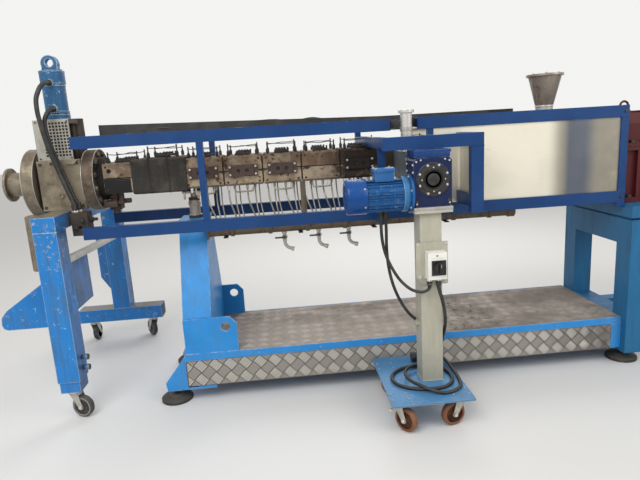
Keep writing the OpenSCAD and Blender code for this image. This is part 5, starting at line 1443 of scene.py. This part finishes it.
def makeStandParts(values):
    x0, x1 = values["x"] - values["half"], values["x"] + values["half"]
    y0, y1 = values["front"], values["front"] + values["depth"]
    stay = wire(values["stay"], 45.6, 4, 6)
    finished("roundStay", [stay], "stayPaint", smooth=60)
    # black inlays in the web's slots: painted shade seen through them
    slots = [block(-611.1, -610.2, y, y + 7, z, z + 16, 0.2) for y, z in values["slots"]]
    finished("webSlots", slots, "shadeAndSeamBlack")
    beads = [weld([(x0 - 0.4, y1 - 6, 521), (x0 - 0.4, y1 - 6, 800)], 6),
             weld([(-610.6, y1 + 0.6, 562), (-610.6, y1 + 0.6, 842)], 6),
             weld([(x0, y0 - 0.4, 1062), (x1, y0 - 0.4, 1062)], 5),
             weld([(x1 + 0.4, y0, 1062), (x1 + 0.4, y1, 1062)], 5),
             weld([(x0 + 6, y0 + 5.4, 227), (x1 - 6, y0 + 5.4, 227)], 4),
             weld([(-713, 744.6, 263), (-587, 744.6, 263)], 6),
             weld([(-586.6, 745, 263), (-586.6, 865, 263)], 6),
             weld([(-586.6, 745, 1062), (-586.6, 865, 1062)], 6)]
    finished("standWelds", beads, "standPaint", smooth=60)
    caps = [block(-359.6, -358, 746, 864, 166, 262, 0.6)]
    finished("beamCaps", caps, "beamEnd")
    nuts = [facing((x1 + 0.3, y0 + 63, z), toRight) for z in values["screws"]]
    screws = spread(hexNut(24, 12, 6), nuts)
    heads = [turned((x1 + 30, y0 + 63, z), toRight, [(0, 15), (2, 17.4), (9, 17.4), (11, 15)], 6)
             for z in values["screws"]]
    finished("clampScrews", screws + heads, "leverSteel")


makeStandParts(standParts)

# pedestal, lugs, jack and feet
pedestalParts = {"x": (7.0, 167.0), "front": -335.0, "jack": 93.0, "pads": ((-83, -269), (-83, 269)),
                 "jackBody": [(0, 40), (4, 40), (6, 33.6), (60, 33.6), (62, 37), (78, 37),
                              (80, 33.4), (92, 33)],
                 "jackHead": [(0, 20), (30, 20), (31, 26), (34, 26)],
                 "padRing": [(0, 79), (2.4, 77), (13, 46), (16.4, 44)]}


def makePedestalParts(values):
    x0, x1 = values["x"]
    face, j = values["front"], values["jack"]
    beads = [weld([(x0 + 4, face + 14.4, 501), (x1 - 2, face + 14.4, 501)], 6),
             weld([(x1 + 0.6, face + 15.5, 300), (x1 + 0.6, face + 15.5, 496)], 6),
             weld([(x1 + 0.5, -116, 1018), (x1 + 0.5, 116, 1018)], 5),
             weld([(8, face + 0.2, 296), (306, face + 0.2, 296)], 5),
             weld([(-1, face + 4, 280), (-118, face + 4, 134)], 5)]
    finished("pedestalWelds", beads, "azurePaint", smooth=60)
    jack = [turned((j, 0, 1046), upward, values["jackBody"], 32),
            turned((j, 0, 1152), upward, values["jackHead"], 24)]
    finished("jackBody", jack, "jackSteel", smooth=40)
    plate = block(39, 147, -82, 82, 1184, 1197, 1.5)
    lugs = [block(j + s - 6, j + s + 6, -92, -80, 1150, 1196, 2) for s in (-40, 40)]
    finished("jackPlate", [plate, *lugs], "jackSteel")
    studs = [facing((x, y, 90), upward, 12) for x, y in values["pads"]]
    finished("padNuts", spread(hexNut(30, 16, 9), studs), "rustySteel")
    rings = [turned((x, y, 20), upward, values["padRing"], 32) for x, y in values["pads"]]
    finished("padRings", rings, "padBrown", smooth=50)


makePedestalParts(pedestalParts)

# post with its clamp, switch with its glands, plug
postParts = {"x": 1338.0, "y": -620.0, "half": 55.0, "knob": (1362.0, 800.0),
             "plateFace": -681, "plateScrews": ((1268, 912), (1412, 912), (1412, 712)),
             "gland": [(0, 13.4), (9, 13.4), (10, 15), (22, 15), (24, 12)]}


def makePostParts(values):
    x, y, h = values["x"], values["y"], values["half"]
    beads = [weld([(x - h, y - h - 0.6, 172), (x + h, y - h - 0.6, 172), (x + h + 0.6, y + h, 172)], 7),
             weld([(x - h - 0.6, y - h, 172), (x - h - 0.6, y + h, 172)], 7),
             weld([(x - h, y - h - 0.4, 1067), (x + h, y - h - 0.4, 1067)], 6)]
    finished("postWelds", beads, "postPaint", smooth=60)
    # pale beads along the post's front corners: painted highlight
    edges = [wire([(x + s * (h - 1.6), y - h + 1.6, 176), (x + s * (h - 1.6), y - h + 1.6, 620),
                   (x + s * (h - 1.6), y - h + 1.6, 1066)], 4.4, 2, 2) for s in (-1, 1)]
    finished("postCornerHighlights", edges, "postCornerHighlight", smooth=60)
    nut = turned((1278, values["plateFace"], 745), toFront, [(0, 9), (6, 9), (7, 8), (7, 4), (2, 4)], 16)
    small = turned((1302, values["plateFace"], 741), toFront, [(0, 6), (4, 6), (4, 3), (1, 3)], 12)
    screws = [turned((sx, values["plateFace"], sz), toFront, [(0, 5), (3, 5), (3.4, 3)], 10)
              for sx, sz in values["plateScrews"]]
    finished("plateNuts", [nut, small, *screws], "brightScrew")
    clampBolts = [facing((x - h - 14, y + dy, 491.2)) for dy in (-4, 24)]
    finished("clampBolts", spread(hexBolt(9, 6), clampBolts), "zincPlate")
    strap = block(x - h - 26, x - h - 0.4, y + 4, y + 20, 462, 470.6, 1.5)
    finished("clampStrap", [strap], "zincPlate")


def makeSwitchParts(values):
    kx, kz = values["knob"]
    y = -736.5
    strips = [block(kx + x0, kx + x1, y, y + 5, kz + z0, kz + z1)
              for x0, x1, z0, z1 in ((-38, -8, -38, 38), (8, 34, -38, 38), (-8.1, 8.1, 8, 38),
                                     (-8.1, 8.1, -38, -8))]
    finished("switchPlate", strips, "knobBlack")
    lid = wire([(1307, -726, 741), (1307, -726, 877), (1401, -726, 877), (1401, -726, 741)], 1.4, 1, 1,
               True)
    finished("switchSeam", [lid], "shadeAndSeamBlack")
    top = turned((1352, -733.4, 862), toFront, [(0, 4), (1.6, 4), (1.6, 2), (0.6, 2)], 12)
    dots = [turned((1352 + dx, -733.4, 850), toFront, [(0, 1.6), (0.5, 1.4)], 8) for dx in (-20, 24)]
    finished("switchScrews", [top, *dots], "leverSteel")
    glands = []
    for name, end, cord in (("motorLead", -1, 16), ("supplyLead", 0, 18)):
        gx, gy, gz = cordRoutes[name]["points"][end]
        glands.append(turned((gx, gy, gz + 24), downward, values["gland"], 8))
        glands.append(sleeve((gx, gy, gz + 1), downward, cord, 24))
    px, py, pz = cordRoutes["supplyLead"]["points"][-1]
    glands.append(sleeve((px - 1, py, pz), toRight, 18, 30))
    finished("switchGlands", glands, "blackPlastic", smooth=40)
    mark = block(kx - 1.6, kx + 1.6, -770.9, -769.6, kz + 8, kz + 24, 0.2)
    finished("knobMark", [mark], "zincPlate", body="knob")
    ribs = [turned(place, toFront, [(0, 2.4), (18, 2.4), (19, 1.6)], 8)
            for place in circlePoints((kx, -737, kz), 28, 16, 1)]
    finished("knobRibs", ribs, "knobBlack", body="knob")
    plugRings = [turned((px - 70 + d, py, pz), toLeft, [(0, 27), (2, 29), (6, 29), (8, 27)], 24)
                 for d in (-4, -30)]
    finished("plugRings", plugRings, "knobBlack", smooth=40)


makePostParts(postParts)
makeSwitchParts(postParts)
print("head, stand and post fitted")

# casters: faces and rims of the wheels, axle nuts, swivel rings, mounting plates, brake lever
casterPlaces = {
    "dolly": [(1128.0, -810.0, -50.0), (1433.0, -810.0, 195.0), (1128.0, -451.0, -30.0),
              (1433.0, -451.0, 60.0)],
    "stand": [(-617.0, -362.0, -18.0), (-444.5, 805.0, 125.0), (-889.5, 805.0, 90.0)]}
casterShape = {"trail": 38.0, "radius": 62.5, "half": 22.0, "top": {"dolly": 150.0, "stand": 157.0},
               "face": [(0, 44), (0.8, 43.6), (0.8, 18)],
               "rim": [(0, 56), (0.7, 55), (0.7, 47), (0, 46.4)],
               "nut": [(0, 10), (1, 11), (6, 11), (7, 10)],
               "ring": [(0, 29), (2, 32.5), (8, 32.5), (11, 30)]}


def makeCasters(values):
    radius, trail, half = values["radius"], values["trail"], values["half"]
    for family, places in casterPlaces.items():
        top = values["top"][family]
        for i, (x, y, turn) in enumerate(places, 1):
            place = (Matrix.Translation(at(x, y, 0)) @ Matrix.Rotation(math.radians(turn), 4, "Z")
                     @ Matrix.Translation(-at(0, 0, 0)))
            faces, rims, bolts = [], [], []
            for side in (-1, 1):
                for made, off, profile, sides in ((faces, 9.9, values["face"], 24),
                                                  (rims, 16.9, values["rim"], 28),
                                                  (bolts, half + 5, values["nut"], 6)):
                    made.append(moved(turned((trail, side * off, radius), (0, side, 0), profile,
                                             sides), place))
            ring = moved(turned((0, 0, top - 12), upward, values["ring"], 28), place)
            stop = moved(block(-33, -20, -15, 15, top - 16, top - 12, 1), place)
            name = f"{family}Caster{i}"
            light = "wheelGrey" if family == "stand" else "wheelDark"
            finished(name + "Faces", faces, light, body=f"{family}_roller_{i}")
            finished(name + "Rims", rims, "wheelAmber" if family == "dolly" else light,
                     body=f"{family}_roller_{i}")
            finished(name + "Fork", [ring, stop, *bolts], "brightZinc",
                     body=f"{family}_swivel_{i}")
    plates = []
    for x, y, _ in casterPlaces["dolly"]:
        plates.append(block(x - 52, x + 52, y - 42, y + 42, 153.4, 157.8, 1))
    finished("dollyPlates", plates, "brightZinc")
    heads = [facing((x + a * 40, y + b * 30, 170), upward, x + a) for x, y, _ in casterPlaces["dolly"]
             for a in (-1, 1) for b in (-1, 1) if not (-680 < y + b * 30 < -560)]
    finished("dollyBolts", spread(socketBolt(10, 3), heads), "zincPlate")
    x, y, _ = casterPlaces["dolly"][0]
    lever = block(x - 62, x - 30, y - 34, y - 10, 116, 121, 1.5)
    arm = block(x - 40, x - 30, y - 30, y - 14, 118, 148, 1.5)
    finished("brakeLever", [lever, arm], "brightZinc", body="dolly_swivel_1")


makeCasters(casterShape)

# drive unit: flange bolts, eye bolts and lids; the feed cone's bolts and band
driveParts = {"gear": (2650.0, 3290.0), "gearTop": 1495.0, "width": 205.0, "axis": 1300.0,
              "motor": 3480.0, "boxTop": 1626.0, "portals": (2600, 3920), "portalWidth": 120,
              "coneX": 2255}


def makeDriveParts(values):
    g0, g1 = values["gear"]
    m0, w, z, top = (values[k] for k in ("motor", "width", "axis", "gearTop"))
    boxTop, coneX = values["boxTop"], values["coneX"]
    bolts = []
    for i in range(8):
        x = g0 + 40 + i * (g1 - g0 - 80) / 7
        for s in (-1, 1):
            bolts.append(facing((x, s * (w + 12), z + 22), upward, i * 11))
    for x in (g0 + 30, g0 + 320, g1 - 30):
        for s in (-1, 1):
            bolts.append(facing((x, s * (w + 20), 1000), upward, 20))
    bolts += [facing((g0 + a, b, top)) for a in (80, 560) for b in (-100, 100)]
    finished("gearBolts", spread(hexBolt(26, 16), bolts), "darkSteel")
    cover = block(g0 + 180, g0 + 440, -90, 90, top, top + 12, 3)
    seams = [block(g0 - 0.6, g1 + 0.6, y - 0.6, y + 0.6, z - 1.4, z + 1.4)
             for y in (-w - 25.4, w + 25.4)]
    finished("gearCover", [cover], "gearRed")
    finished("gearSeams", seams, "shadeAndSeamBlack")
    eyes = []
    for x in (g0 + 120, g0 + 520):
        eyes.append(wire(circlePoints((x, 0, top + 45), 26, 16, 1), 14, 1, 2, True))
        eyes.append(turned((x, 0, top), upward, [(0, 24), (8, 24), (12, 10), (22, 10)], 20))
    eyes.append(wire(circlePoints((m0 + 200, 150, 1520), 24, 16, 1), 12, 1, 2, True))
    finished("driveEyes", eyes, "gearRed", smooth=50)
    lid = block(m0 + 146, m0 + 404, -124, 124, boxTop - 14, boxTop, 4)
    finished("driveMotorParts", [lid], "driveMotorPaint", smooth=40)
    nuts = ringMoves((m0 + 40, 0, z), toRight, 222, 8, 22.5)
    nuts += [facing((m0 + 146 + a, b, boxTop)) for a in (16, 242) for b in (-106, 106)]
    finished("driveMotorBolts", spread(hexBolt(16, 9), nuts), "zincPlate")
    # black strips for the coupling guard's slots: painted shade seen through them
    slots = [block(3330.6 + i * 22, 3340.6 + i * 22, -126.2, -124.8, 1150, 1380, 0.4) for i in range(6)]
    finished("couplingSlots", slots, "shadeAndSeamBlack")
    cone = ringMoves((coneX, 0, 1752), upward, 98, 8, 22.5)
    band = turned((coneX, 0, 1561), upward, [(0, 54), (8, 54), (9, 52)], 40)
    finished("coneBolts", spread(hexBolt(10, 6), cone), "zincPlate")
    finished("coneBand", [band], "polishedSteel", smooth=40)
    fronts = [block(x - 0.6, x + values["portalWidth"] + 0.6, -385.8, -384.6, 80, 888)
              for x in reversed(values["portals"])]
    finished("portalFronts", fronts, "drivePaint")
    beads = [weld([(2600, -385.6, 889), (2720, -385.6, 889)], 5),
             weld([(2599.4, -380, 890), (2599.4, 310, 890)], 5)]
    finished("driveWelds", beads, "drivePaint", smooth=60)
    edgePins = [facing((x, -341, 275), toFront) for x in range(420, 2560, 356)]
    finished("edgeScrews", spread(socketBolt(9, 2.5), edgePins), "azurePaint")


makeDriveParts(driveParts)
print("drive and casters fitted")


# white surroundings, three wide lamps and a pale floor
lamps = {"keyLamp": {"place": (-2.5, -3.5, 4.2), "energy": 150, "size": 3.0},
         "fillLamp": {"place": (3.0, -3.0, 3.4), "energy": 70, "size": 3.0},
         "rearLamp": {"place": (0.5, 3.6, 3.8), "energy": 90, "size": 3.0}}


def addSurroundings():
    world = bpy.data.worlds.new("plainWorld")
    bpy.context.scene.world = world
    world.use_nodes = True
    tree = world.node_tree
    tree.nodes.clear()
    rays = addNode(tree, "ShaderNodeLightPath").outputs
    seen = calc(tree, "MAXIMUM", rays["Is Camera Ray"],
                calc(tree, "MAXIMUM", rays["Is Glossy Ray"], rays["Is Transmission Ray"]))
    light = addNode(tree, "ShaderNodeBackground", {"Color": (1, 0.985, 0.96, 1), "Strength": 0.62})
    white = addNode(tree, "ShaderNodeBackground", {"Color": (0.90, 0.90, 0.89, 1), "Strength": 1.0})
    both = addNode(tree, "ShaderNodeMixShader", {0: seen, 1: light.outputs[0], 2: white.outputs[0]})
    addNode(tree, "ShaderNodeOutputWorld", {0: both.outputs[0]})
    for name, values in lamps.items():
        data = bpy.data.lights.new(name, "AREA")
        data.energy, data.size = values["energy"], values["size"]
        lamp = bpy.data.objects.new(name, data)
        bpy.context.scene.collection.objects.link(lamp)
        lamp.location = values["place"]
        lamp.rotation_mode = "QUATERNION"
        aim = Vector((0, 0, 0.8)) - Vector(values["place"])
        lamp.rotation_quaternion = aim.to_track_quat("-Z", "Y")
    bpy.ops.object.select_all(action="DESELECT")
    bpy.ops.mesh.primitive_plane_add(size=60, location=(0, 0, -0.001))
    floor = bpy.context.object
    floor.name = "floorPlane"
    material = bpy.data.materials.new("paleFloor")
    material.use_nodes = True
    shader = material.node_tree.nodes["Principled BSDF"]
    shader.inputs["Base Color"].default_value = (0.72, 0.715, 0.70, 1)
    shader.inputs["Roughness"].default_value = 0.55
    floor.data.materials.append(material)


addSurroundings()
bpy.context.scene.view_settings.view_transform = "Standard"
